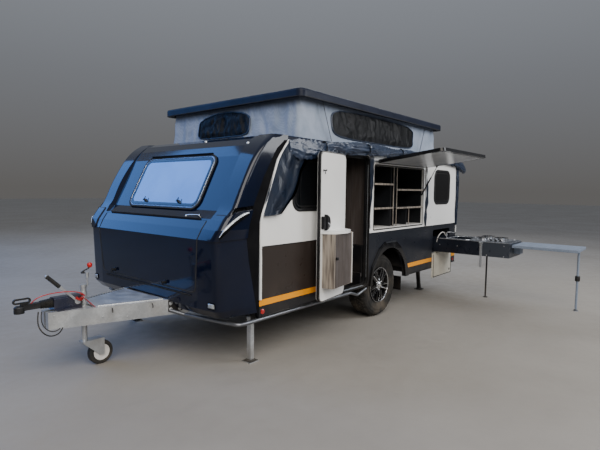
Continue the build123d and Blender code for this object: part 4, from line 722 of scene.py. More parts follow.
# %% [markdown]
# ## Screens in the canvas
#
# Each wall has a dark mesh screen. The front one is a low arch with a straight foot, the side ones are
# long with round ends. They are separate pieces sewn on: a crumpled dark sheet that stands a finger
# proud of the canvas, with a hem round it.

# %% Screens and hems
def screen_outline(u, v, span, rise, arch):
    """Turns the unit square into a rounded window: share round the canvas and share of height."""
    a, b = 2 * u - 1, 2 * v - 1
    power = 5.0
    size = (abs(a) ** power + abs(b) ** power) ** (1 / power) or 1e-9
    scale = max(abs(a), abs(b)) / size
    t = span[0] + (span[1] - span[0]) * (0.5 + 0.5 * a * scale)
    lift = 0.5 + 0.5 * b * scale
    return t, rise[0] + (rise[1] - rise[0]) * (lift - arch * (a * scale) ** 2 * max(0.0, lift))


def screen_place(u, v, span, rise, arch):
    """A place on a screen, crumpled and pushed off the canvas except at its edge."""
    place = canvas_place(*screen_outline(u, v, span, rise, arch), 0.006)
    edge = min(1.0, 5.0 * min(u, 1 - u, v, 1 - v))
    crumple = abs(fold(place.x * 9 + place.y * 9, place.z * 4, 3.0))
    crumple += 0.6 * abs(fold(place.x * 22, place.y * 22, place.z * 9))
    if abs(place.x) / FOOT_HALF[0] > abs(place.y) / FOOT_HALF[1]:
        outward = Vector((math.copysign(1, place.x), 0, 0))
    else:
        outward = Vector((0, math.copysign(1, place.y), 0))
    return place + outward * (0.010 + 0.030 * crumple) * edge


def share_at(wall, along):
    """The share of the way round the canvas where it passes a place on one of its walls."""
    wanted = {"left": (along, FOOT_HALF[1]), "right": (along, -FOOT_HALF[1]),
              "front": (FOOT_HALF[0], along), "rear": (-FOOT_HALF[0], along)}[wall]

    def distance(k):
        x, y, outward = canvas_ring(k / SHARE_STEPS, *FOOT_HALF)
        return (x - wanted[0]) ** 2 + (y - wanted[1]) ** 2
    return min(range(SHARE_STEPS), key=distance) / SHARE_STEPS


SHARE_STEPS = 4000
SCREENS = [       # wall, from, to, heights, arch
    ("front", -0.50, 0.36, (0.16, 0.80), 0.20),
    ("left", -0.86, 1.04, (0.14, 0.84), 0.04),
    ("right", -0.95, 0.95, (0.14, 0.84), 0.04),
    ("rear", -0.45, 0.45, (0.16, 0.80), 0.20),
]
HEM_UV = ([(k / 40, 0.0) for k in range(40)] + [(1.0, k / 12) for k in range(12)]
          + [(1 - k / 40, 1.0) for k in range(40)] + [(0.0, 1 - k / 12) for k in range(13)])
for wall, start, end, rise, arch in SCREENS:
    name, shape = f"{wall}_screen", ((share_at(wall, start), share_at(wall, end)), rise, arch)
    with piece(name, "window_mesh", ROOF_LIFT, sharp=60) as screen:
        sheet(screen, 120, 26, lambda u, v: screen_place(u, v, *shape), 0.003)
    with piece(f"{name}_hem", "awning_cloth", ROOF_LIFT, slot="canvas", sharp=60) as hem:
        rod(hem, [canvas_place(*screen_outline(u, v, *shape), 0.010) for u, v in HEM_UV], 0.008, 8, 0.6)
print("screens:", [s[0] for s in SCREENS])


# %% [markdown]
# ## The awning, furled along the rail
#
# An awning of coated cloth hangs in a rail over the door. It is only bundled up, so it is fat over
# the doorway, thinner towards the tail, and creased everywhere. It is drawn as one skin round a line
# along the rail. The creases run mostly along the bundle, which straps pinch in five places.

# %% The bundle
BUNDLE = [        # along, to the left, height of the middle, half width, half height
    (1.800, 1.130, 1.935, 0.018, 0.066),
    (1.640, 1.142, 1.930, 0.030, 0.100),
    (1.400, 1.150, 1.938, 0.040, 0.092),
    (1.100, 1.156, 1.975, 0.046, 0.068),
    (0.700, 1.158, 1.992, 0.048, 0.064),
    (0.250, 1.158, 2.004, 0.048, 0.068),
    (-0.200, 1.154, 2.004, 0.044, 0.062),
    (-0.900, 1.146, 2.004, 0.036, 0.052),
    (-1.600, 1.142, 1.996, 0.032, 0.048),
    (-2.100, 1.140, 1.966, 0.032, 0.056),
    (-2.300, 1.150, 1.915, 0.046, 0.088),
    (-2.420, 1.146, 1.885, 0.026, 0.060),
]
STRAPS_X = [1.300, 0.520, -0.260, -1.150, -1.950]


def bundle_at(x):
    """Middle and half sizes of the bundle at a place along the rail."""
    for (x0, *low), (x1, *high) in zip(BUNDLE, BUNDLE[1:]):
        if x >= x1:
            t = (x0 - x) / (x0 - x1)
            t = t * t * (3 - 2 * t)
            return [a + (b - a) * t for a, b in zip(low, high)]
    return BUNDLE[-1][1:]


def bundle_place(u, v):
    """A place on the bundle's skin at share u along it and share v round it."""
    x = BUNDLE[0][0] + (BUNDLE[-1][0] - BUNDLE[0][0]) * u
    y, z, wide, high = bundle_at(x)
    angle = 2 * math.pi * v
    pinch = 1.0 - 0.25 * sum(math.exp(-((x - strap) / 0.035) ** 2) for strap in STRAPS_X)
    twist = angle + 0.9 * math.sin(x * 2.3)
    across, lift = math.cos(twist), math.sin(twist)
    crease = fold(x * 1.5, across * 1.8, lift * 1.8) * 0.34
    crease += (0.5 - abs(fold(x * 1.6 + 3, across * 3.6, lift * 3.6))) * 0.62 - 0.20
    crease += (0.5 - abs(fold(x * 3.6 + 1, across * 6.5, lift * 6.5))) * 0.24 - 0.08
    crease += fold(x * 9.0, across * 7, lift * 7) * 0.05
    size = pinch * (0.86 + crease)
    sag = -0.018 * max(0.0, -math.sin(angle)) * fold(x * 1.7, 5.0, 2.0)
    return Vector((x, y + wide * size * math.cos(angle), z + high * size * math.sin(angle) + sag))


BUNDLE_STEPS, BUNDLE_SIDES = 420, 44
with piece("awning_bundle", "awning_cloth", replaces=["awning_fabric"], sharp=70) as bundle:
    skin_rings(bundle, [[bundle.verts.new(bundle_place(i / BUNDLE_STEPS, k / BUNDLE_SIDES))
                         for k in range(BUNDLE_SIDES)] for i in range(BUNDLE_STEPS + 1)])
with piece("awning_ties", "black_plastic", slot="awning", sharp=50) as ties:
    for x in STRAPS_X:
        y, z, wide, high = bundle_at(x)
        rod(ties, [(x + 0.004 * math.sin(a * 3), y + (wide * 0.80 + 0.003) * math.cos(a),
                    z + (high * 0.80 + 0.003) * math.sin(a)) for a in full_turn(28, True)], 0.011, 8, 0.3)
print("bundle faces:", BUNDLE_STEPS * BUNDLE_SIDES)

# %% [markdown]
# ## The loose ends of the awning
#
# At the front the cloth hangs from the curved rail on the wall's leading edge, like a sail tied by
# one side. At the tail it hangs straight down the corner of the body. Both are sheets between two
# edges: one held, one free. The free edge flutters, and the folds die away towards the held one.

# %% Front sail and tail drop
SAIL_HELD = [(2.118, 1.316), (2.060, 1.500), (1.975, 1.700), (1.905, 1.850), (1.830, 1.945), (1.780, 1.985)]
SAIL_FREE = [(1.874, 1.329), (1.780, 1.417), (1.684, 1.517), (1.642, 1.592), (1.601, 1.713), (1.528, 1.810),
             (1.430, 1.925)]
TAIL_HELD = [(-2.170, 1.950), (-2.185, 1.700), (-2.190, 1.450), (-2.180, 1.230), (-2.200, 1.015)]
TAIL_FREE = [(-2.275, 1.900), (-2.285, 1.700), (-2.275, 1.450), (-2.255, 1.230), (-2.240, 1.060)]


def along_line(points, v):
    """A place at share v along a smooth line."""
    line = through([(x, 0.0, z) for x, z in points], 8)
    place = v * (len(line) - 1)
    k = min(int(place), len(line) - 2)
    return line[k].lerp(line[k + 1], place - k)


def hanging_cloth(held, free, base_y, depth, ripples):
    """A rule for a sheet from a held edge to a free one that bulges and ripples off the wall."""
    def rule(u, v):
        place = along_line(held, v).lerp(along_line(free, v), u)
        ripple = math.sin(ripples * math.pi * u + 4 * fold(v * 2.0, u, 1.0)) * 0.5 + 0.5
        crumple = abs(fold(place.x * 8, place.z * 5, 2.0))
        belly = math.sin(math.pi * min(1.0, u * 1.1)) ** 0.7
        place.y = base_y + depth * belly * (0.45 + 0.4 * ripple + 0.5 * crumple)
        place.x += 0.012 * fold(place.z * 9, u * 3, 7.0) * u
        return place
    return rule


LOOSE_ENDS = [    # name, cells, rule, flat size
    ("sail", (44, 90), hanging_cloth(SAIL_HELD, SAIL_FREE, BODY_HALF + 0.0150, 0.034, 3.0), (0.30, 0.80)),
    ("tail", (22, 110), hanging_cloth(TAIL_HELD, TAIL_FREE, BODY_HALF + 0.0095, 0.026, 2.0), (0.11, 0.97)),
]
for name, cells, rule, flat in LOOSE_ENDS:
    with piece(f"awning_{name}", "awning_cloth", sharp=70) as cloth:
        sheet(cloth, *cells, rule, 0.002)
print("sail and tail hang")

# %% [markdown]
# ## Tyres for gravel roads
#
# An all-terrain tyre is a turned body with blocks on its crown. The carcass is turned first, with
# fine rings on the flank. The blocks are small wedges in four rows, the outer rows reaching over the
# shoulder, each row shifted against the next.

# %% Carcass and blocks
WHEEL_FACE, AXLE_HEIGHT = 1.060, 0.387
TYRE_WIDE, TYRE_RADIUS = 0.245, 0.387
TREAD_DEEP = 0.010
BLOCKS = 46             # in each row
BLOCK_ROWS = [(-0.094, 0.046, 0.034, 0.004), (-0.034, 0.050, 0.036, 0.008),     # across, width,
              (0.034, 0.050, 0.036, -0.008), (0.094, 0.046, 0.034, -0.004)]     # length, lean
CARCASS = [(0.214, 0.086), (0.222, 0.100), (0.236, 0.108), (0.262, 0.117), (0.292, 0.1215),
           (0.300, 0.1235), (0.306, 0.1215), (0.330, 0.119), (0.336, 0.1205), (0.342, 0.118),
           (0.358, 0.111), (0.370, 0.098), (0.3755, 0.080), (0.377, 0.040)]     # radius, half width


def tread_block(mesh, centre, angle, across, wide, long, lean):
    """One block: a wedge that narrows from the carcass to the tread's radius."""
    corners = []
    for radius, shrink in ((TYRE_RADIUS - TREAD_DEEP - 0.008, 1.0), (TYRE_RADIUS - 0.0005, 0.82)):
        for edge, end in ((-1, -1), (1, -1), (1, 1), (-1, 1)):
            a = angle + (end * long / 2 * shrink + edge * lean) / TYRE_RADIUS
            w = across + edge * wide / 2 * shrink
            drop = radius - 0.9 * max(0.0, abs(w) - 0.085)
            corners.append(mesh.verts.new(centre + Vector((drop * math.cos(a), w, drop * math.sin(a)))))
    skin_rings(mesh, [corners[:4], corners[4:]])


for side, name in SIDES:
    centre = Vector((0.0, side * (WHEEL_FACE - TYRE_WIDE / 2 - 0.0005), AXLE_HEIGHT))
    profile = [(r, -w) for r, w in CARCASS] + [(r, w) for r, w in CARCASS[::-1]]
    with piece(f"tread_{name}", "tyre_rubber", f"wheel_{name}", replaces=[f"tyre_{name}"], sharp=30) as tyre:
        turned(tyre, profile, centre, (0, 1, 0), 96, closed_ends=False)
        for k in range(BLOCKS):
            for row, block in enumerate(BLOCK_ROWS):
                tread_block(tyre, centre, math.pi / BLOCKS * (2 * k + row % 2), *block)
print("blocks on a tyre:", len(BLOCK_ROWS) * BLOCKS)

# %% [markdown]
# ## Wheel trim
#
# The alloy wheel has dark pockets between bright machined spokes, a thin bright lip, a cap on the hub and a ring of
# nuts. The spokes' bodies are solids already. The lip, the cap, the nuts, a black disc behind the pockets as
# painted shade inside the wheel, and the bright blades on the spokes are made here.

# %% Lip, cap, nuts, painted shade in the pockets, and blades
LIP = [(0.199, -0.030), (0.203, -0.018), (0.2115, -0.010), (0.215, -0.010), (0.2165, -0.014),
       (0.214, -0.020), (0.206, -0.026), (0.203, -0.034)]
CAP = [(0.040, -0.028), (0.041, -0.014), (0.038, -0.006), (0.030, -0.001), (0.016, 0.0025), (0.004, 0.003)]
CAP_FOOT = [(0.052, -0.030), (0.052, -0.018), (0.046, -0.015)]
NUT = [(0.010, 0.0), (0.0095, 0.010), (0.006, 0.014), (0.002, 0.0155)]
NUTS, NUT_CIRCLE, NUT_DEEP = 6, 0.0635, 0.026
POCKET_SHADE_DISC = [(0.045, -0.0665), (0.190, -0.0665), (0.194, -0.0625), (0.194, -0.060), (0.045, -0.060)]
SPOKES, FIRST_SPOKE = 5, math.radians(51.0)
BLADE = [(0.070, 0.0185), (0.110, 0.0245), (0.150, 0.0310), (0.193, 0.0385)]    # reach, and off the middle


def wheel_place(side, reach, angle, deep):
    """A place so far from the axle, turned by an angle, and so deep behind the wheel's face."""
    return Vector((reach * math.cos(angle), side * (WHEEL_FACE - deep), AXLE_HEIGHT + reach * math.sin(angle)))


for side, name in SIDES:
    body, face, outward = f"wheel_{name}", wheel_place(side, 0.0, 0.0, 0.0), (0, side, 0)
    with piece(f"rim_lip_{name}", "machined_alloy", body) as lip:
        turned(lip, LIP, face, outward, 96, closed_ends=False)
    with piece(f"hub_cap_{name}", "chrome", body) as cap:
        turned(cap, CAP, face, outward, 40)
        turned(cap, CAP_FOOT, face, outward, 40)
    with piece(f"wheel_nuts_{name}", "chrome", body) as nuts:
        for k in range(NUTS):
            turned(nuts, NUT, wheel_place(side, NUT_CIRCLE, 2 * math.pi * (k + 0.5) / NUTS, NUT_DEEP), outward, 6)
    # a black disc behind the spoke openings: painted shade inside the wheel
    with piece(f"rim_shade_disc_{name}", "black_powder", body) as shade_disc:
        turned(shade_disc, POCKET_SHADE_DISC, face, outward, 64)
    with piece(f"rim_blades_{name}", "machined_alloy", body) as blades:
        for k in range(SPOKES):
            for half in (1, -1):
                line = [wheel_place(side, math.hypot(reach, off), FIRST_SPOKE + 2 * math.pi * k / SPOKES
                                    + half * math.atan2(off, reach), 0.0005) for reach, off in BLADE]
                rod(blades, through(line, 4), 0.0068, 10, 0.42)
print("wheels trimmed")

# %% [markdown]
# ## Springs and bellows
#
# A coil spring is a rod along a helix whose ends lie closer. The rubber bellows on the coupling is a
# turned body whose radius swings between two values. Both stand for plain solids.

# %% Coils and folds
COIL_TURNS, COIL_RADIUS, WIRE = 4.5, 0.043, 0.0075
COIL_STEPS = 150
COIL_INSET = 0.052      # from the springs' outer side to their axis
low, high, middle = road_box("coil_springs")
spring_y = (high.y - low.y) / 2 - COIL_INSET
with piece("spring_coils", "black_powder", replaces=["coil_springs"]) as coil:
    for side in (1, -1):
        helix = []
        for k in range(COIL_STEPS):
            t = k / (COIL_STEPS - 1)
            angle = 2 * math.pi * COIL_TURNS * t
            rise = 0.25 * (0.5 - 0.5 * math.cos(math.pi * t)) + 0.75 * t
            helix.append((middle.x + COIL_RADIUS * math.cos(angle), side * spring_y + COIL_RADIUS * math.sin(angle),
                          low.z + WIRE + (high.z - low.z - 2 * WIRE) * rise))
        rod(coil, helix, WIRE, 10)
FOLDS, FOLD_STEPS = 7, 8
low, high, middle = road_box("bellows")
bellows_long, bellows_radius = high.x - low.x, (high.z - low.z) / 2
profile = [(bellows_radius * 0.80, 0.0)]
for k in range(FOLDS * FOLD_STEPS):
    t = k / (FOLDS * FOLD_STEPS - 1)
    swing = 0.86 + 0.14 * math.cos(2 * math.pi * k / FOLD_STEPS)
    profile.append((bellows_radius * (1.0 - 0.16 * t) * swing, 0.004 + (bellows_long - 0.008) * t))
profile.append((bellows_radius * 0.62, bellows_long))
with piece("bellows_folds", "rubber", replaces=["bellows"], sharp=60) as bellows:
    turned(bellows, profile, (low.x, 0, middle.z), (1, 0, 0), 36)
print("springs and bellows made")

# %% [markdown]
# ## The mattress
#
# Through the front windows a bed shows. Its mattress is a foam block in ticking that bellies out
# between its edges. A short cloth simulation with a little pressure gives that belly. It takes a few
# seconds, and its result is applied, so nothing is left to simulate.

# %% Inflate the mattress
SHY = 0.012             # the pad starts smaller, because it swells
PAD_VOXEL = 0.022
PAD_PRESSURE = 4.0
PAD_CAP = 0.012         # no point may move further
low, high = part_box("mattress")
with piece("mattress_pad", "ticking", replaces=["mattress"], sharp=60) as pad:
    slab(pad, [a - r + SHY for a, r in zip(low, ROAD)], [b - r - SHY for b, r in zip(high, ROAD)], 0.030)
mattress_pad = bpy.data.objects["mattress_pad"]


def applied(cushion):
    """A new mesh with what the modifiers make of a piece, which loses them."""
    made = bpy.data.meshes.new_from_object(cushion.evaluated_get(bpy.context.evaluated_depsgraph_get()))
    cushion.modifiers.clear()
    return made


def inflate(cushion, frames=20):
    """Remeshes a pad, blows it up as cloth, keeps the result with capped moves, and tells the largest."""
    bpy.context.view_layer.objects.active = cushion
    remesh = cushion.modifiers.new("even", "REMESH")
    remesh.mode, remesh.voxel_size, remesh.use_smooth_shade = "VOXEL", PAD_VOXEL, True
    cushion.data = applied(cushion)
    before = [v.co.copy() for v in cushion.data.vertices]
    cloth = cushion.modifiers.new("pressure", "CLOTH")
    cloth.settings.use_pressure = True
    cloth.settings.uniform_pressure_force = PAD_PRESSURE
    cloth.settings.effector_weights.gravity = 0.0
    cloth.point_cache.frame_start, cloth.point_cache.frame_end = 1, frames
    for frame_number in range(1, frames + 1):
        scene.frame_set(frame_number)
    swollen = applied(cushion)
    scene.frame_set(1)
    for vertex, start in zip(swollen.vertices, before):
        move = vertex.co - start
        vertex.co = start + move * min(1.0, PAD_CAP / max(move.length, 1e-9))
    cushion.data = swollen
    swollen.shade_smooth()
    return max((v.co - start).length for v, start in zip(swollen.vertices, before))


print("mattress moved by", round(inflate(mattress_pad), 4), "m at most")

# %% [markdown]
# ## Small parts that follow a surface
#
# Seals, knobs and lamps on the moulded nose have to lie on a surface that curves. Rather than guess
# its height, a ray is shot at the solid and the part goes where it lands, turned to face the way the
# surface faces. A ring of such places makes a seal that hugs the form.

# %% Rays and seals
skins = {}


def skin_of(name):
    """A solid's surface, ready for rays."""
    if name not in skins:
        skins[name] = BVHTree.FromObject(nodes[name], bpy.context.evaluated_depsgraph_get())
    return skins[name]


def on_solid(name, start, heading):
    """Where a ray, in road measures, first meets a solid, and the way its surface faces there."""
    place, facing, *rest = skin_of(name).ray_cast(at(*start), Vector(heading))
    if place is None:
        return None, None
    return place - ROAD, facing if facing.dot(Vector(heading)) < 0 else -facing


def from_ahead(name, y, z):
    """The place on a solid's front at so far to the left and so high."""
    return on_solid(name, (4.0, y, z), (-1, 0, 0))


def seen_at(name, across, down):
    """The place on a solid that the camera sees at a place in the picture, 600 wide and 450 tall."""
    heading = ahead + (across - 300) / FOCAL_PIXELS * right + (225 - down) / FOCAL_PIXELS * upward
    return on_solid(name, CAMERA_PLACE, heading.normalized())


def round_rectangle(half_u, half_v, corner, steps=8):
    """Points (u, v) round a rounded rectangle, closed."""
    line = []
    for su, sv, start in ((1, 1, 0), (-1, 1, 90), (-1, -1, 180), (1, -1, 270)):
        for k in range(steps + 1):
            angle = math.radians(start + 90 * k / steps)
            line.append((su * (half_u - corner) + corner * math.cos(angle),
                         sv * (half_v - corner) + corner * math.sin(angle)))
    return [*line, line[0]]


def ring_on(middle, one, two, half_u, half_v, corner):
    """The places of a rounded rectangle on a plane that two directions span."""
    return [Vector(middle) + u * Vector(one) + v * Vector(two) for u, v in round_rectangle(half_u, half_v, corner)]


def window_seal(name, finish_name, middle, one, two, half_u, half_v, corner, radius, flat=0.6, **settings):
    """A rubber or metal ring round a flat rounded window."""
    line = ring_on(middle, one, two, half_u, half_v, corner)
    facing = Vector(one).cross(Vector(two))
    rings = []
    with piece(name, finish_name, sharp=60, **settings) as seal:
        for point, before, after in zip(line, [line[-2], *line[:-2]], [*line[1:-1], line[0]]):
            outward = (after - before).normalized().cross(facing)
            rings.append([seal.verts.new(point + radius * (math.cos(a) * outward + flat * math.sin(a) * facing))
                          for a in full_turn(10)])
        skin_rings(seal, [*rings, rings[0]], closed_ends=False)


print("ray tools are ready")

# %% [markdown]
# ## Trim on the nose
#
# The big window sits in a black seal with a bright inner line, held by two catches at its foot. A rubber seal runs
# round the storage hatch, with a long hinge at its head, two knobs low on it, and a small chrome grip above its
# corner. Light bars and louvres lie on the pods, with a black rod under each bar as painted shadow, and small clear
# marker lamps on the roof edge.

# %% Front window
RAKE_FOOT, RAKE_HEAD = Vector((2.397, 0, 1.362)), Vector((2.150, 0, 1.842))
rake_up = (RAKE_HEAD - RAKE_FOOT).normalized()
rake_out = Vector((rake_up.z, 0, -rake_up.x))
window_middle = RAKE_FOOT + 0.276 * rake_up + 0.012 * rake_out
for ring_name, finish_name, slot, out, *measures in (       # half wide, half high, corner, radius, flat
        ("seal", "rubber", "rubber", 0.0, 0.583, 0.280, 0.098, 0.0085, 0.7),
        ("line", "brushed_steel", "aluminium", 0.004, 0.566, 0.263, 0.086, 0.002, 0.8),
        ("border", "smoked_acrylic", "aluminium", 0.0035, 0.545, 0.242, 0.070, 0.016, 0.12)):
    window_seal(f"front_window_{ring_name}", finish_name, window_middle + out * rake_out, (0, 1, 0), rake_up,
                *measures, slot=slot)
CATCH = [(0.016, 0.0), (0.016, 0.006), (0.011, 0.012), (0.009, 0.020), (0.013, 0.026), (0.006, 0.029)]
with piece("front_window_catches", "black_plastic") as catches:
    for y in (-0.28, 0.28):
        place, facing = from_ahead("front_window", y, 1.425)
        turned(catches, CATCH, place, facing, 20)
        rod(catches, [place + 0.02 * facing, place + 0.02 * facing + 0.035 * rake_up], 0.005, 8)
with piece("front_window_hinge", "band_black", slot="black_plastic") as hinge:
    top = window_middle + 0.290 * rake_up + 0.006 * rake_out
    rod(hinge, [top + Vector((0, y, 0)) for y in (-0.50, 0.50)], 0.010, 14)

# %% Storage hatch's seal, hinge, knobs and grip
HATCH_HEAD_Y, HATCH_HEAD_Z = 0.832, 1.283
HATCH_FOOT_Y, HATCH_FOOT_Z = 0.787, 0.683
HATCH_CORNER, HATCH_STEP = 0.060, 0.03
HATCH_HINGE = (2.502, 1.300)
HATCH_KNOB = [(0.020, 0.0), (0.020, 0.006), (0.012, 0.010), (0.011, 0.022), (0.018, 0.028), (0.017, 0.036),
              (0.006, 0.040)]


def hatch_edge(grow, steps=10):
    """Points (y, z) down one side of the hatch, along its foot and up again, grown by so much."""
    line = [(HATCH_HEAD_Y + grow, HATCH_HEAD_Z - 0.004)]
    line += [(HATCH_FOOT_Y + grow - HATCH_CORNER * (1 - math.cos(a)),
              HATCH_FOOT_Z - grow + HATCH_CORNER * (1 - math.sin(a)))
             for a in (math.pi / 2 * k / steps for k in range(steps + 1))]
    line += [(-y, z) for y, z in line[::-1]]
    fine = []
    for (y0, z0), (y1, z1) in zip(line, line[1:]):
        count = max(1, int(math.hypot(y1 - y0, z1 - z0) / HATCH_STEP))
        fine += [(y0 + (y1 - y0) * k / count, z0 + (z1 - z0) * k / count) for k in range(count)]
    return [*fine, line[-1]]


with piece("hatch_seal", "rubber", sharp=60) as seal:
    found = [from_ahead("nose_moulding", y, z) for y, z in hatch_edge(0.0075)]
    rod(seal, [place - 0.001 * facing for place, facing in found if place is not None and place.x > 2.2], 0.0055, 8)
    rod(seal, [(HATCH_HINGE[0], y, HATCH_HINGE[1]) for y in (-0.74, -0.37, 0.0, 0.37, 0.74)], 0.0065, 10)
    rod(seal, [from_ahead("nose_moulding", -0.72 + 1.44 * k / 30, 0.645)[0] + Vector((0.003, 0, 0))
               for k in range(31)], 0.010, 10, 0.5)
with piece("hatch_knobs", "black_plastic", "storage_hatch") as knobs:
    for spot in ((115, 269), (165, 282)):
        turned(knobs, HATCH_KNOB, *seen_at("storage_hatch", *spot), 24)
with piece("hatch_grip", "chrome", "storage_hatch") as grip:
    feet = []
    for spot in ((186, 216.5), (200, 216.5)):
        place, facing = seen_at("storage_hatch", *spot)
        if place is None:
            place, facing = seen_at("nose_moulding", *spot)
        turned(grip, [(0.008, 0.0), (0.007, 0.014), (0.004, 0.018)], place, facing, 12)
        feet.append((place, facing))
    rod(grip, [place + 0.014 * feet[0][1] for place, facing in feet], 0.007, 12)
with piece("roof_markers", "lamp_clear") as markers:
    for spot in ((206, 142), (248, 143)):
        turned(markers, [(0.014, 0.0), (0.013, 0.006), (0.009, 0.011), (0.003, 0.013)],
               *seen_at("nose_moulding", *spot), 20)

# %% Light bars and corner lamps
BAR_SEEN = [(249.0, 213.2), (243.5, 216.0), (237.0, 220.4), (230.5, 226.0), (224.5, 232.2), (219.5, 238.4)]
BAR_RADIUS = 0.0185
CORNER_LAMP = (0.970, 0.590)
bar_places = [seen_at("nose_moulding", *seen)[0] for seen in BAR_SEEN]
bar_places = [place for place in bar_places if place is not None]


def lamp_rule(side):
    """A rule for a domed lens that follows the moulding at its lower corner."""
    def rule(u, v):
        a, b = 2 * u - 1, 2 * v - 1
        spot, out = from_ahead("nose_moulding", side * (CORNER_LAMP[0] + 0.038 * a), CORNER_LAMP[1] + 0.022 * b)
        return spot + out * (0.002 + 0.010 * (1 - a ** 4) * (1 - b ** 4))
    return rule


with piece("front_bezels_and_bar_shadow", "band_black", sharp=50) as bezels_and_bar_shadow, \
        piece("front_lenses", "lamp_clear", replaces=["front_lamps"], sharp=50) as lenses:
    for side in (1, -1):
        line = through([Vector((p.x + 0.008, side * (p.y + 0.009), p.z + 0.006)) for p in bar_places], 6)
        sizes = [BAR_RADIUS * min(1.0, 0.35 + 3.0 * min(k, len(line) - 1 - k) / len(line))
                 for k in range(len(line))]
        rod(lenses, line, sizes, 14, 0.75)
        # the black rod just under each light bar is painted shadow below the bar
        rod(bezels_and_bar_shadow, [p - Vector((0, 0, 0.012)) for p in line], [s * 1.15 for s in sizes], 14, 0.75)
        edge = []
        for u, v in round_rectangle(0.040, 0.024, 0.012):
            place, facing = from_ahead("nose_moulding", side * (CORNER_LAMP[0] + u), CORNER_LAMP[1] + v)
            edge.append(place + 0.003 * facing)
        rod(bezels_and_bar_shadow, edge, 0.0045, 8)
        sheet(lenses, 20, 14, lamp_rule(side), 0.001)
print("nose trim lies on the moulding")

# %% Louvres over the pods
VENT_TOP = [(2.501, 1.332), (2.404, 1.392), (2.214, 1.409)]
VENT_FOOT = [(2.499, 1.330), (2.387, 1.366), (2.207, 1.386)]
VENT_RIBS = 15


def louvre_rule(side):
    """A rule for a ribbed strip that lies on the moulding between two lines."""
    def rule(u, v):
        spot = along_line(VENT_TOP, u).lerp(along_line(VENT_FOOT, u), 0.04 + 0.92 * v)
        nearest, facing, *rest = skin_of("nose_moulding").find_nearest(at(spot.x, side * BODY_HALF, spot.z))
        rib = 0.5 + 0.5 * math.sin(u * 2 * math.pi * VENT_RIBS)
        return nearest - ROAD + (0.0015 + 0.0040 * rib) * facing
    return rule


for side, name in SIDES:
    with piece(f"pod_louvre_{name}", "band_black", sharp=40) as louvre:
        sheet(louvre, 120, 8, louvre_rule(side), 0.001)
print("louvres ribbed")

# %% [markdown]
# ## The drawbar's fittings
#
# The drawbar is hot-dip galvanised and everything on it is bolted. A pale deck plate has a row of
# holes along each edge, the brackets carry four bolts each, and hooks hold the safety cable. The nose
# wheel has a pale rim, and its crank ends in a red knob. The handbrake has a moulded grip.

# %% Bolts and hooks
RAIL_OUTER, RAIL_TIP, RAIL_BEND = 0.430, (3.467, 0.067), 2.420


def rail_face(x, side=1):
    """How far to the side the drawbar's outer face lies at x."""
    t = (x - RAIL_BEND) / (RAIL_TIP[0] - RAIL_BEND)
    return side * (RAIL_OUTER + (RAIL_TIP[1] - RAIL_OUTER) * max(0.0, t))


def rail_facing(side):
    """The way the drawbar's outer face looks."""
    return Vector((RAIL_OUTER - RAIL_TIP[1], side * (RAIL_TIP[0] - RAIL_BEND), 0)).normalized()


with piece("drawbar_bolts", "zinc") as fittings:
    for side in (1, -1):
        facing = rail_facing(side)
        for x, z in ((2.476, 0.462), (2.476, 0.516), (2.552, 0.462), (2.552, 0.516)):
            away = (x + 0.3 * facing.x, rail_face(x, side) + 0.3 * facing.y, z)
            place, normal = on_solid("cross_members", away, -facing)
            if place is not None:
                bolt(fittings, place, facing, 0.017)
        for x, z in ((3.428, 0.520), (3.086, 0.463), (2.900, 0.440), (3.300, 0.500)):
            bolt(fittings, (x, rail_face(x, side) + 0.0002 * side, z), facing, 0.011)
with piece("drawbar_hooks", "black_powder") as hooks:
    for x in (3.018, 2.705):
        for side in (1, -1):
            foot, facing = Vector((x, rail_face(x, side), 0.530)), rail_facing(side)
            tip = foot + 0.030 * facing
            bend = [foot, foot + 0.020 * facing, tip - Vector((0, 0, 0.012)), tip - Vector((0, 0, 0.030))]
            rod(hooks, through(bend, 5), 0.0045, 8)

# %% Deck plate
DECK_FOOT, DECK_RUN = (2.600, 0.345), (0.520, -0.185)    # its edge starts here, and runs so far
deck_top = road_box("drawbar_deck")[1].z


def deck_edge(x, inside, side):
    """How far to the side the deck's edge lies at x, moved inward."""
    return side * (DECK_FOOT[1] + DECK_RUN[1] * (x - DECK_FOOT[0]) / DECK_RUN[0] - inside)


with piece("deck_holes", "black_powder") as holes:
    for side in (1, -1):
        for x in (2.625 + 0.029 * k for k in range(17)):
            turned(holes, [(0.0085, 0.0), (0.0085, 0.0012), (0.0070, 0.0016)],
                   (x, deck_edge(x, 0.022, side), deck_top - 0.0002), (0, 0, 1), 18)
with piece("deck_edges", "zinc") as strips:
    for side in (1, -1):
        rod(strips, [(x, deck_edge(x, 0.004, side), deck_top + 0.001) for x in (2.604, 3.110)], 0.0045, 8)

# %% Nose wheel, crank and handbrake
DISH = [(0.006, 0.0016), (0.016, 0.0018), (0.018, 0.0006), (0.058, 0.0005), (0.061, 0.0018), (0.070, 0.0018),
        (0.072, -0.002)]     # radius, and out from the wheel's flank
RIB = [(0.1035, -0.0032), (0.1052, -0.0020), (0.1052, 0.0020), (0.1035, 0.0032)]
CRANK = [(0.0, 0.0, -0.004), (0.0, 0.004, 0.012), (-0.014, 0.010, 0.022), (-0.040, 0.016, 0.034),
         (-0.050, 0.020, 0.050)]
CRANK_KNOB = [(0.008, 0.0), (0.017, 0.006), (0.021, 0.018), (0.021, 0.030), (0.016, 0.040), (0.006, 0.044)]
low, high, middle = road_box("jockey_wheel")
flank = (high.y - low.y) / 2
with piece("nose_wheel_rim", "pale_worktop", "jockey_wheel", slot="aluminium") as rim:
    for side in (1, -1):
        turned(rim, [(r, flank + out) for r, out in DISH], middle, (0, side, 0), 40)
with piece("nose_wheel_ribs", "rubber", "jockey_wheel") as ribs:
    for offset in (-0.018, -0.006, 0.006, 0.018):
        turned(ribs, RIB, middle + Vector((0, offset, 0)), (0, 1, 0), 64)
stem_top = Vector((3.155, 0.0, road_box("jockey_stem")[1].z))
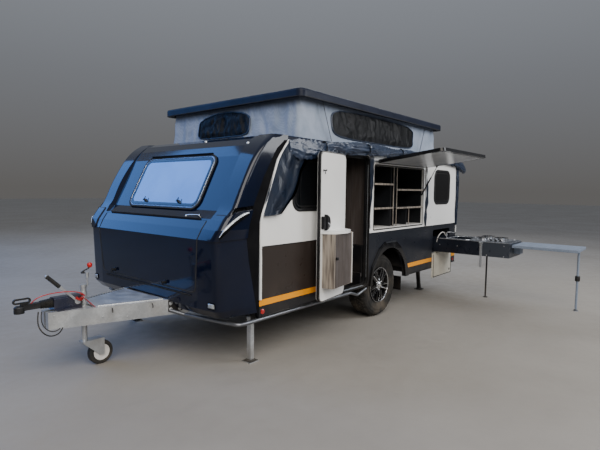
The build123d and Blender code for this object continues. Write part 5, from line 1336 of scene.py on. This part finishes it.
with piece("crank_arm", "black_powder", "jockey_stem", slot="galvanised") as crank:
    rod(crank, through([stem_top + Vector(p) for p in CRANK], 5), 0.0055, 10)
    turned(crank, [(0.016, 0.0), (0.017, 0.010), (0.012, 0.016)], stem_top - Vector((0, 0, 0.006)), (0, 0, 1), 20)
with piece("crank_knob", "red_plastic", "jockey_stem") as knob:
    turned(knob, CRANK_KNOB, stem_top + Vector((-0.050, 0.020, 0.040)), (0, 0, 1), 20)
LEVER_FOOT, LEVER_TIP = Vector((3.225, 0, 0.600)), Vector((3.462, 0, 0.838))
GRIP_STEPS, GRIP_LONG = 40, 0.118
lever_y = road_box("handbrake_lever")[2].y
lever_run = LEVER_TIP - LEVER_FOOT
profile = [(0.012, 0.0), (0.0165, 0.004)]
profile += [(0.0160 + 0.0007 * math.cos(math.pi / 2 * k), 0.010 + GRIP_LONG * k / (GRIP_STEPS - 1))
            for k in range(GRIP_STEPS)]
profile += [(0.017, 0.134), (0.012, 0.142), (0.004, 0.144)]
with piece("handbrake_grip", "rubber", sharp=60) as grip:
    turned(grip, profile, LEVER_FOOT + 0.60 * lever_run + Vector((0, lever_y, 0)), lever_run, 20)
print("drawbar fitted")

# %% [markdown]
# ## Cables at the coupling
#
# A thin red safety cable loops from the coupling over the housing to a hook, and two black cables
# hang in loops under the coupling and go back into the frame. Each is a smooth spline through a few
# control points, with the bend that such a cable takes by itself.

# %% Safety cable and loops
def probe_length(curve):
    """Length of a spline's smooth line itself."""
    plain = curve.copy()
    plain.bevel_depth = 0.0
    probe = bpy.data.objects.new("probe", plain)
    scene.collection.objects.link(probe)
    mesh = bpy.data.meshes.new_from_object(probe.evaluated_get(bpy.context.evaluated_depsgraph_get()))
    length = sum((mesh.vertices[e.vertices[0]].co - mesh.vertices[e.vertices[1]].co).length for e in mesh.edges)
    bpy.data.objects.remove(probe)
    bpy.data.meshes.remove(mesh)
    bpy.data.curves.remove(plain)
    return round(length, 3)


def spline_cord(name, points, diameter, finish_name, body="caravan"):
    curve = bpy.data.curves.new(name, "CURVE")
    curve.dimensions, curve.bevel_depth, curve.bevel_resolution = "3D", diameter / 2, 3
    line = curve.splines.new("NURBS")
    line.points.add(len(points) - 1)
    for point, place in zip(line.points, points):
        point.co = (*at(*place), 1.0)
    line.order_u, line.use_endpoint_u, line.resolution_u = 3, True, 10
    curve.materials.append(materials[finish_name])
    cord = bpy.data.objects.new(name, curve)
    scene.collection.objects.link(cord)
    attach(cord, body)
    length = probe_length(curve)
    tuple(at(*points[0]))
    print(name, length, "m")


CORDS = [         # name, diameter, finish, points
    ("safety_cable", 0.007, "red_plastic",
     [(3.575, 0.030, 0.640), (3.570, 0.052, 0.662), (3.530, 0.072, 0.692), (3.450, 0.080, 0.706),
      (3.350, 0.078, 0.704), (3.260, 0.070, 0.690), (3.190, 0.062, 0.664), (3.170, 0.060, 0.640)]),
    ("brake_cable", 0.008, "rubber",
     [(3.500, 0.030, 0.560), (3.520, 0.060, 0.520), (3.515, 0.090, 0.455), (3.470, 0.105, 0.405),
      (3.410, 0.100, 0.400), (3.370, 0.085, 0.430), (3.360, 0.070, 0.470)]),
    ("lamp_cable", 0.010, "rubber",
     [(3.520, 0.018, 0.560), (3.545, 0.055, 0.500), (3.540, 0.095, 0.430), (3.490, 0.120, 0.375),
      (3.420, 0.118, 0.372), (3.370, 0.100, 0.410), (3.350, 0.080, 0.455)]),
]
for name, diameter, finish_name, points in CORDS:
    spline_cord(name, points, diameter, finish_name)

# %% [markdown]
# ## Edges of the body
#
# Sandwich panels meet in aluminium profiles: a white awning rail up the leading edge, a pale corner
# profile at the rear, a thin strip over the joint between the colours, and a black sill along the
# skirt. Each profile is a flattened rod along its edge, and the rails have a row of screws.

# %% Rails, corner profiles and strips
EDGE_FRONT = [(2.131, 0.590), (2.130, 0.900), (2.128, 1.262), (2.060, 1.450), (1.990, 1.632), (1.920, 1.806),
              (1.850, 1.905), (1.778, 1.988)]
STRIPS = {1: ((2.115, 0.945), (0.355, -2.225)), -1: ((2.115, -2.225),)}         # from and to, for each side
SILLS = {1: ((2.110, 0.945), (-0.660, -2.235)), -1: ((2.110, 0.380), (-0.660, -2.235))}
STRIP_Z, SILL_Z = 1.0502, 0.436
TAIL_X, RAIL_TOP = -2.2405, 1.985
SCREW = [(0.0045, 0.0), (0.0040, 0.0022), (0.0015, 0.0028)]
with piece("body_rails", "door_white", sharp=50) as rails:
    for side in (1, -1):
        line = through([(x, side * (BODY_HALF + 0.008), z) for x, z in EDGE_FRONT], 6)
        rod(rails, line, 0.0135, 12, 0.8)
        rod(rails, [(-2.236, side * (BODY_HALF + 0.002), z) for z in (0.905, 1.30, 1.70, RAIL_TOP)], 0.012, 12, 0.8)
    rod(rails, [(TAIL_X, -1.05, RAIL_TOP), (TAIL_X, 1.05, RAIL_TOP)], 0.012, 12, 0.8)
for name, runs, z, radius, flat in (("joint_strips", STRIPS, STRIP_Z, 0.0045, 0.8),
                                    ("sill_strips", SILLS, SILL_Z, 0.009, 0.7)):
    with piece(name, "black_plastic", sharp=50) as strips:
        for side in (1, -1):
            for ends in runs[side]:
                rod(strips, [(x, side * (BODY_HALF + 0.0005), z) for x in ends], radius, 10, flat)
with piece("rail_screws", "brushed_steel") as screws:
    for side in (1, -1):
        for k in range(18):
            place = along_line(EDGE_FRONT, (k + 0.5) / 18)
            turned(screws, SCREW, (place.x, side * (BODY_HALF + 0.0175), place.z), (0, side, 0), 10)
        for k in range(16):
            turned(screws, SCREW, (-2.229, side * (BODY_HALF + 0.0112), 0.93 + 1.02 * k / 15), (0, side, 0), 10)
print("body edges trimmed")

# %% [markdown]
# ## Windows, hatch frame and door frame
#
# The side windows are smoked acrylic in black frames with rounded corners. The galley's opening has
# a black rubber seal, pale edging on its shelves and a pale worktop ledge. The doorway has a rubber
# seal all round and a threshold plate.

# %% Frames on the flanks
SIDE_PANES = [(1.340, 1.605, 0.360, 0.245), (-1.665, 1.605, 0.265, 0.235)]      # middle, and half sizes
UP = (0, 0, 1)
for side, name in SIDES:
    for number, (x, z, half_x, half_z) in enumerate(SIDE_PANES, 1):
        middle = (x, side * (BODY_HALF + 0.0035), z)
        window_seal(f"side_frame_{name}_{number}", "black_plastic", middle, (side, 0, 0), UP,
                    half_x + 0.004, half_z + 0.004, 0.099, 0.015, 0.55, slot="rubber")
        window_seal(f"side_border_{name}_{number}", "rubber", middle, (side, 0, 0), UP,
                    half_x - 0.032, half_z - 0.032, 0.070, 0.003)
window_seal("galley_seal", "rubber", (-0.390, BODY_HALF + 0.0008, 1.465), (1, 0, 0), UP,
            0.657, 0.382, 0.020, 0.007, 0.45)
window_seal("door_seal", "rubber", (0.649, BODY_HALF - 0.012, 1.1875), (1, 0, 0), UP,
            0.2775, 0.7360, 0.070, 0.0036)

# %% Galley shelves, worktop and threshold
GALLEY_FROM, GALLEY_TO = -1.036, 0.256
SHELVES = [(GALLEY_FROM, -0.292, 1.330), (GALLEY_FROM, -0.292, 1.560), (-0.201, GALLEY_TO, 1.335),
           (-0.201, GALLEY_TO, 1.625)]
DIVIDERS = [(-0.290, 1.100, 1.836), (-0.205, 1.100, 1.836), (-0.630, 1.100, 1.318)]
STEP_Z = 0.4544
with piece("shelf_edges", "light_wood") as shelf_edges:
    for x0, x1, z in SHELVES:
        slab(shelf_edges, (x0, BODY_HALF - 0.006, z - 0.011), (x1, BODY_HALF - 0.0015, z + 0.011), 0.0015)
    for x, z0, z1 in DIVIDERS:
        slab(shelf_edges, (x - 0.008, BODY_HALF - 0.006, z0), (x + 0.008, BODY_HALF - 0.0018, z1), 0.0015)
with piece("galley_worktop", "pale_worktop") as ledge:
    slab(ledge, (GALLEY_FROM, BODY_HALF - 0.330, 1.0925), (GALLEY_TO, BODY_HALF + 0.0036, 1.1035), 0.002)
with piece("threshold_plate", "satin_aluminium") as threshold:
    slab(threshold, (0.445, BODY_HALF - 0.029, STEP_Z - 0.0022),
         (0.855, BODY_HALF - 0.002, STEP_Z - 0.0002), 0.0008)
    for k in range(8):
        rod(threshold, [(x, BODY_HALF - 0.027 + 0.0034 * k, STEP_Z) for x in (0.455, 0.845)], 0.0008, 6)
with piece("jamb_strip", "satin_aluminium") as jamb:
    rod(jamb, [(0.3738, BODY_HALF - 0.020, z) for z in (0.540, 1.840)], 0.0020, 8)
print("openings framed")

# %% [markdown]
# ## The side door's inner face
#
# Folded back, the door shows its inside: a white moulded face in a black rubber edge, a cabinet
# whose front is darker wood with a pale edge and a black knob, a latch in a half round housing, and a
# small catch that keeps the door open. The door is turned 171.5 degrees about its pin, so these parts
# are laid out on the door's own plane: along it, out from it and up.

# %% Door layout
DOOR_PIN = Vector((0.930, BODY_HALF + 0.014, 0.0))
door_lean = math.radians(180.0 - 171.5)
door_along = Vector((math.cos(door_lean), math.sin(door_lean), 0.0))
door_out = Vector((-math.sin(door_lean), math.cos(door_lean), 0.0))
DOOR_MIDDLE = (0.2815, 1.1875)          # along the door, and up


def on_door(u, v, z):
    """A place on the folded door: u along it from the pin, v out from the wall side, z up."""
    return DOOR_PIN + u * door_along + v * door_out + Vector((0, 0, z))


def out_to(name, u, z):
    """How far out from the pin a ray from outside meets a solid of the door."""
    place, facing = on_solid(name, on_door(u, 0.8, z), -door_out)
    return (place - DOOR_PIN).dot(door_out)


def door_slab(mesh, u, v, z, soft=0.002):
    """A box in the door's own layout."""
    made = slab(mesh, (u[0], v[0], z[0]), (u[1], v[1], z[1]), soft)
    turn = Matrix((door_along, door_out, (0, 0, 1))).transposed().to_4x4()
    bmesh.ops.transform(mesh, matrix=Matrix.Translation(DOOR_PIN) @ turn, verts=list(made))


door_face = out_to("door", 0.300, 1.600)
cabinet_face = out_to("door_cabinet", 0.300, 0.860)
print("door's inner face lies", round(door_face, 4), "m out from its pin")

# %% Door edge and band
window_seal("door_edge", "rubber", on_door(DOOR_MIDDLE[0], door_face - 0.004, DOOR_MIDDLE[1]),
            door_along, (0, 0, -1), 0.2665, 0.7250, 0.061, 0.0065, 0.9, body="door")
with piece("door_band", "black_plastic", "door", sharp=60) as band:
    rings = []
    for (u1, z1), (u0, z0) in zip(round_rectangle(0.2725, 0.7315, 0.067), round_rectangle(0.2705, 0.7295, 0.065)):
        rings.append([band.verts.new(on_door(DOOR_MIDDLE[0] + u, v, DOOR_MIDDLE[1] + z)) for u, v, z in
                      ((u0, door_face - 0.003, z0), (u1, door_face - 0.003, z1), (u1, 0.014, z1), (u0, 0.014, z0))])
    skin_rings(band, rings, closed_ends=False)

# %% Cabinet front, knobs and latch
KNOB = [(0.0125, 0.0), (0.0120, 0.010), (0.0150, 0.0175), (0.0160, 0.0220), (0.0120, 0.0255), (0.0040, 0.0265)]
DOOR_CATCH = [(0.010, 0.0), (0.010, 0.003), (0.006, 0.005), (0.005, 0.026), (0.010, 0.032), (0.004, 0.036)]
LATCH_U, LATCH_Z, LATCH_R, LATCH_DEEP = 0.470, 1.235, 0.078, 0.036
LATCH_STEPS = 24
with piece("cabinet_front", "dark_wood", "door") as front:
    door_slab(front, (0.140, 0.478), (cabinet_face - 0.0005, cabinet_face + 0.0035), (0.607, 1.122))
with piece("cabinet_edge", "pale_worktop", "door", slot="wood") as edge:
    door_slab(edge, (0.104, 0.118), (cabinet_face - 0.0005, cabinet_face + 0.0045), (0.606, 1.124))
with piece("door_knobs", "black_plastic", "door") as knobs:
    turned(knobs, KNOB, on_door(0.465, cabinet_face, 0.894), door_out, 24)
    catch_foot = on_door(0.497, door_face, 1.735)
    turned(knobs, DOOR_CATCH, catch_foot, door_out, 20)
    rod(knobs, [catch_foot + 0.020 * door_out, catch_foot + 0.020 * door_out - Vector((0, 0, 0.035))], 0.004, 8)
with piece("latch_housing", "black_plastic", "door") as latch:
    domes = []
    for shrink, out in ((1.0, 0.0005), (1.0, LATCH_DEEP * 0.6), (0.93, LATCH_DEEP * 0.88), (0.80, LATCH_DEEP)):
        reach = LATCH_R * shrink
        domes.append([latch.verts.new(on_door(LATCH_U - reach * math.sin(a), door_face + out,
                                              LATCH_Z + reach * math.cos(a)))
                      for a in (math.pi * k / LATCH_STEPS for k in range(LATCH_STEPS + 1))])
    skin_rings(latch, domes)
    door_slab(latch, (0.474, 0.537), (door_face + 0.0005, door_face + 0.026), (1.176, 1.294), 0.005)
    for z in (1.205, 1.265):
        door_slab(latch, (0.494, 0.530), (door_face + 0.024, door_face + 0.030), (z - 0.014, z + 0.014), 0.003)
with piece("latch_lever", "brushed_steel", "door") as lever:
    bend = [(0.462, 0.0, 1.235), (0.440, 0.006, 1.222), (0.415, 0.004, 1.198)]
    rod(lever, through([on_door(u, door_face + LATCH_DEEP + out, z) for u, out, z in bend], 5), 0.0055, 10, 0.7)
print("door dressed")

# %% [markdown]
# ## The gas strut of the galley hatch
#
# A strut runs from the wall to the hatch at its rear end. It turns about both of its eyes as the
# hatch closes, so it belongs to neither body alone.

# %% Strut
EYE = [(0.004, -0.011), (0.010, -0.009), (0.011, 0.0), (0.010, 0.009), (0.004, 0.011)]
STRUT_X, STRUT_STEPS, STRUT_TUBE = -1.005, 30, 19       # the tube takes 19 of the 30 steps
foot = Vector((STRUT_X, BODY_HALF - 0.004, 1.500))
under, facing = on_solid("galley_hatch", (STRUT_X, 1.300, 1.2), (0, 0, 1))
head = under + 0.010 * facing
across_hinge = ("caravan", "galley_hatch", tuple(foot.lerp(head, 0.10)), tuple(foot.lerp(head, 0.90)))
with piece("hatch_strut_rear", "black_powder", across_hinge) as strut:
    steps = range(STRUT_STEPS + 1)
    rod(strut, [foot.lerp(head, k / STRUT_STEPS) for k in steps],
        [0.0095 if k < STRUT_TUBE else 0.0045 for k in steps], 12)
    for place in (foot, head):
        turned(strut, EYE, place, (1, 0, 0), 16)
print("strut reaches from", tuple(round(v, 3) for v in foot), "to", tuple(round(v, 3) for v in head))

# %% [markdown]
# ## The slide-out kitchen
#
# The drawer has a hob with three burners under wire supports, a basin and a curved tap, a pale
# bracket on its flank, and a table hooked to its end. The supports are rods crossed over rings. The
# table is a tray of aluminium: a thin top in a deep frame, with a clamp where its leg folds.

# %% Hob, pan supports and knobs
PLATE_Z = 0.8820
FINGERS = 4
BURNER_CAP = [(0.030, -0.006), (0.030, 0.0005), (0.024, 0.003), (0.004, 0.0035)]
HOB_KNOB = [(0.019, 0.0), (0.019, 0.003), (0.0155, 0.006), (0.0150, 0.018), (0.012, 0.021), (0.004, 0.022)]
hob_low, hob_high, hob_mid = road_box("hob")
BURNERS = [(hob_mid.x - 0.120, 1.750), (hob_mid.x + 0.120, 1.750), (hob_mid.x, 1.960)]


def round_about(x, y, z, radius, angle):
    """A place beside a level middle, so far off in a direction."""
    return Vector((x + radius * math.cos(angle), y + radius * math.sin(angle), z))


with piece("hob_grates", "black_powder", "drawer") as grates:
    for x, y in BURNERS:
        top = hob_high.z + 0.006
        for k in range(FINGERS):
            a = 2 * math.pi * (k + 0.5) / FINGERS
            rod(grates, [round_about(x, y, z, reach, a) for reach, z in
                         ((0.020, top), (0.094, top), (0.098, PLATE_Z + 0.002))], 0.0045, 8)
        rod(grates, [round_about(x, y, top, 0.074, a) for a in full_turn(36, True)], 0.0040, 8)
with piece("hob_knobs", "black_plastic", "drawer") as knobs:
    for x, y in BURNERS:
        turned(knobs, BURNER_CAP, (x, y, hob_high.z), UP, 32)
    for y in (1.885, 1.945, 2.005):
        turned(knobs, HOB_KNOB, (hob_high.x - 0.050, y, PLATE_Z), UP, 24)

# %% Drawer trim, bracket, rivets and basin rim
RIVET = [(0.0075, 0.0), (0.0070, 0.0015), (0.0040, 0.0028), (0.0010, 0.0030)]
BRACKET_Y = 1.782
RIVETS = [(BRACKET_Y, 0.690), (BRACKET_Y, 0.820), (1.200, 0.780), (1.450, 0.780), (2.080, 0.690), (2.080, 0.830),
          (1.860, 0.690)]
drawer_low, drawer_high, drawer_mid = road_box("kitchen_drawer")
flank_x, rim_z = drawer_high.x, drawer_high.z
with piece("drawer_trim", "brushed_steel", "drawer") as trim:
    for x in (drawer_low.x, flank_x):
        rod(trim, [(x, 1.150, rim_z), (x, drawer_high.y - 0.004, rim_z)], 0.0045, 8)
    rod(trim, [(x, drawer_high.y, rim_z) for x in (drawer_low.x, flank_x)], 0.0045, 8)
    slab(trim, (drawer_low.x - 0.004, 1.130, rim_z - 0.004), (drawer_low.x + 0.016, 1.600, rim_z + 0.006), 0.003)
with piece("drawer_bracket", "satin_aluminium", "drawer") as bracket:
    slab(bracket, (flank_x + 0.0005, 1.765, 0.520), (flank_x + 0.0060, 1.800, 0.856), 0.0015)
    slab(bracket, (flank_x + 0.0005, 1.755, 0.845), (flank_x + 0.0160, 1.810, 0.868), 0.0020)
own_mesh(bpy.data.objects["drawer_bracket"], "drawer_slide", axis=(0, 0, 1),
          anchor=tuple(at(flank_x, 1.780, 0.860)), keep=0.3)
with piece("drawer_bolts", "brushed_steel", "drawer") as rivets:
    for y, z in RIVETS:
        turned(rivets, RIVET, (flank_x + (0.006 if y == BRACKET_Y else 0.0), y, z), (1, 0, 0), 16)
with piece("basin_rim", "brushed_steel", "drawer") as basin:
    slab(basin, (-1.900, 1.260, rim_z - 0.001), (-1.510, 1.262, rim_z + 0.003), 0.001)
    rod(basin, ring_on((-1.705, 1.420, rim_z + 0.001), (1, 0, 0), (0, 1, 0), 0.196, 0.156, 0.045), 0.005, 8)

# %% Table frame, leg clamp and flap edge
TABLE_FROM = 2.172
FRAME_LOW, FRAME_TOP, FRAME_HALF = 0.8165, 0.8485, 0.0095
GROOVES = 5
table_low, table_high, table_mid = road_box("table")
with piece("table_frame", "table_aluminium", "drawer") as frame_bars:
    for x in (table_low.x + 0.010, table_high.x - 0.010):
        slab(frame_bars, (x - FRAME_HALF, TABLE_FROM, FRAME_LOW),
             (x + FRAME_HALF, table_high.y - 0.001, FRAME_TOP), 0.003)
    for y in (TABLE_FROM + 0.010, table_high.y - 0.011):
        slab(frame_bars, (table_low.x + 0.001, y - FRAME_HALF, FRAME_LOW),
             (table_high.x - 0.001, y + FRAME_HALF, FRAME_TOP), 0.003)
    for k in range(1, GROOVES + 1):
        y = TABLE_FROM + (table_high.y - TABLE_FROM) * k / (GROOVES + 1)
        rod(frame_bars, [(table_low.x + 0.012, y, 0.8502), (table_high.x - 0.012, y, 0.8502)], 0.0012, 6)
leg_low, leg_high, leg = road_box("table_leg")
with piece("leg_clamp", "black_plastic", "drawer") as clamp:
    turned(clamp, [(0.026, -0.034), (0.0295, -0.028), (0.0295, 0.028), (0.026, 0.034)],
           (leg.x, leg.y, 0.430), UP, 24)
    rod(clamp, [(leg.x, leg.y, 0.432), (leg.x + 0.042, leg.y + 0.004, 0.432),
                (leg.x + 0.046, leg.y + 0.004, 0.405)], 0.006, 8)
    turned(clamp, [(0.026, 0.001), (0.026, 0.012), (0.016, 0.022)], (leg.x, leg.y, leg_low.z), UP, 24)
flap_low, flap_high, flap_mid = road_box("drawer_flap")
with piece("flap_edge", "black_plastic", "drawer_flap") as flap_edge:
    left, right_side, foot_z = flap_low.x + 0.008, flap_high.x - 0.008, flap_low.z + 0.008
    face_y, head_z = flap_high.y - 0.002, flap_high.z - 0.030
    for (x0, z0), (x1, z1) in (((left, foot_z), (right_side, foot_z)), ((left, foot_z), (left, head_z)),
                               ((right_side, foot_z), (right_side, head_z))):
        rod(flap_edge, [(x0, face_y, z0), (x1, face_y, z1)], 0.0065, 10)
    turned(flap_edge, [(0.020, 0.0), (0.019, 0.0025), (0.010, 0.004), (0.010, 0.005)],
           (flap_low.x + 0.060, flap_high.y - 0.001, flap_low.z + 0.060), (0, 1, 0), 20)
print("kitchen dressed")

# %% [markdown]
# ## The roof lid
#
# The lid is a moulded tray with a rubber seal under its rim and a low roof vent. Elastic straps run
# from it to the roof and pull the canvas in as the lid comes down.

# %% Lid seal, vent and straps
VENT_X, VENT_HALF, VENT_RISE = 0.30, 0.200, 0.010
STRAP_ENDS = [(1.235, 1.080), (-1.120, -0.930)]         # along, on the lid and on the roof
lid_low, lid_high, lid_mid = road_box("roof_lid")


def vent_rule(u, v):
    """A low cushion with steep sides."""
    a, b = 2 * u - 1, 2 * v - 1
    rise = VENT_RISE * (1 - abs(a) ** 8) * (1 - abs(b) ** 8)
    return Vector((VENT_X + VENT_HALF * a, VENT_HALF * b, lid_high.z + 0.0005 + rise))


with piece("lid_seal", "rubber", "roof_lid", sharp=60) as lid_seal:
    half_x, half_y = (lid_high.x - lid_low.x) / 2 - 0.006, (lid_high.y - lid_low.y) / 2 - 0.006
    rod(lid_seal, ring_on((lid_mid.x, lid_mid.y, lid_low.z + 0.004), (1, 0, 0), (0, 1, 0), half_x, half_y, 0.066),
        0.0070, 8)
with piece("roof_vent", "black_plastic", "roof_lid", sharp=50) as vent:
    sheet(vent, 24, 24, vent_rule)
with piece("canvas_straps", "black_plastic", ROOF_LIFT, sharp=60) as straps:
    for side in (1, -1):
        for lid_x, roof_x in STRAP_ENDS:
            head, foot = Vector((lid_x, side * 1.062, 2.452)), Vector((roof_x, side * 1.072, 2.048))
            rod(straps, [head.lerp(foot, k / 16) for k in range(17)], 0.0075, 8, 0.4)
print("lid dressed")

# %% [markdown]
# ## Steadies, lamps and the far side
#
# Each corner steady ends in a foot with a rubber pad. Red marker lamps sit low on the skirt. The
# right side and the tail can't be seen in the photograph. They get what such caravans carry there:
# louvres for a cooler, rings round the lamps, reflectors, caps on the bumper and grab handles.

# %% Feet, marker lamps and tail
MARKER = [(0.024, 0.0), (0.023, 0.006), (0.016, 0.010), (0.004, 0.011)]
LAMP_RINGS = [(0.705, 0.050), (0.800, 0.035), (0.885, 0.045)]                   # height and half height
HANDLE = [(TAIL_X, 1.10), (-2.275, 1.13), (-2.278, 1.22), (-2.275, 1.31), (TAIL_X, 1.34)]
VENT_XS, SLATS = (-0.250, 0.550), 9
for name in ("front_left", "front_right", "rear_left", "rear_right"):
    foot_low, foot_high, foot_mid = road_box(f"steady_{name}")
    with piece(f"steady_pad_{name}", "rubber", f"steady_{name}") as pad:
        slab(pad, (foot_low.x + 0.002, foot_mid.y - 0.053, 0.0005),
             (foot_low.x + 0.108, foot_mid.y + 0.053, 0.0100), 0.003)
        turned(pad, [(0.046, 0.0095), (0.044, 0.016), (0.036, 0.022)],
               (foot_low.x + 0.055, foot_mid.y, 0.0), UP, 24)
with piece("skirt_lamps", "lamp_red") as lamps:
    for side in (1, -1):
        for x in (2.100, -2.160):
            turned(lamps, MARKER, (x, side * (BODY_HALF + 0.0003), 0.478), (0, side, 0), 24)
lamp_x = road_box("rear_lamps")[0].x
with piece("rear_lamp_rings", "black_plastic") as rings:
    for side in (1, -1):
        for z, half_z in LAMP_RINGS:
            rod(rings, ring_on((lamp_x - 0.0005, side * 1.010, z), (0, 1, 0), UP, 0.043, half_z, 0.018), 0.0040, 8)
with piece("cooler_louvres", "door_white") as louvres:
    for x in VENT_XS:
        slab(louvres, (x - 0.210, -BODY_HALF - 0.006, 1.120), (x + 0.210, -BODY_HALF + 0.0005, 1.300), 0.004)
        for k in range(SLATS):
            rod(louvres, [(x + end, -BODY_HALF - 0.0075, 1.138 + 0.018 * k) for end in (-0.190, 0.190)],
                0.0042, 8, 0.6)
with piece("bumper_caps", "black_plastic") as caps:
    for side in (1, -1):
        slab(caps, (-2.332, side * 0.962 - 0.0035, 0.360), (-2.268, side * 0.962 + 0.0035, 0.434), 0.003)
with piece("rear_reflectors", "lamp_red") as reflectors:
    for y in (0.78, -0.78):
        slab(reflectors, (-2.2455, y - 0.045, 0.600), (-2.2400, y + 0.045, 0.640), 0.002)
with piece("rear_handles", "black_plastic") as handles:
    for side in (1, -1):
        rod(handles, through([(x, side * 0.86, z) for x, z in HANDLE], 5), 0.009, 10)
print("far side dressed")

# %% [markdown]
# ## Ties of the awning
#
# Two dark cloth ties hang down beside the galley's opening from the furled awning. They are narrow
# strips that twist a little, drawn as sheets with a slow turn.

# %% Hanging ties
TIE_WIDE = 0.046


def tie_rule(x, z_top, z_foot):
    """A rule for a hanging strip that turns and sways."""
    def rule(u, v):
        z = z_top + (z_foot - z_top) * v
        twist = 0.55 * math.sin(5.0 * v + 10 * x) + 0.25 * fold(z * 5, x * 9, 0.5)
        off = TIE_WIDE * (1.0 + 0.6 * fold(z * 9, x, 4.0)) * (u - 0.5)
        return Vector((x + 0.010 * math.sin(9 * v) + off * math.cos(twist),
                       BODY_HALF + 0.0175 + 0.006 * math.sin(7 * v + x) + off * math.sin(twist), z))
    return rule


for name, *place in (("front", 0.352, 1.940, 1.115), ("rear", -1.120, 1.945, 1.060)):
    with piece(f"awning_tie_{name}", "awning_cloth", sharp=60) as tie:
        sheet(tie, 6, 80, tie_rule(*place), 0.0015)
print("ties hang")

# %% [markdown]
# ## Hose and strap
#
# A pale hose loops from the drawer up to the tap. A red strap is wound round the foot of the
# handbrake lever, and its two ends hang loose.

# %% Hose of the tap and strap of the handbrake
tap_low, tap_high, tap_mid = road_box("tap")
hose_points = [(-1.432, 1.150, 0.800), (-1.424, 1.156, 0.850), (-1.430, 1.172, 0.905), (-1.462, 1.200, 0.955),
               (-1.520, 1.214, 0.956), (-1.560, 1.212, 0.925), (tap_mid.x, tap_low.y + 0.004, 0.900)]
spline_cord("tap_hose", hose_points, 0.012, "pale_worktop", "drawer")
with piece("handbrake_strap", "red_plastic", sharp=60) as strap:
    for turn in range(3):
        foot = Vector((3.222 - 0.010 * turn, lever_y, 0.612 + 0.012 * turn))
        wide = 0.022 + 0.003 * turn
        rod(strap, [foot + Vector((0.024 * math.cos(a), wide * math.sin(a), 0.014 * math.cos(a + turn)))
                    for a in full_turn(28, True)], 0.0065, 8, 0.5)
    for away in (0.05, 0.02):
        rod(strap, through([(3.215, lever_y + 0.020, 0.630), (3.190, lever_y + 0.045 + away / 2, 0.622),
                            (3.165 - away, lever_y + 0.055 + away, 0.585 - away)], 8), 0.0065, 8, 0.35)
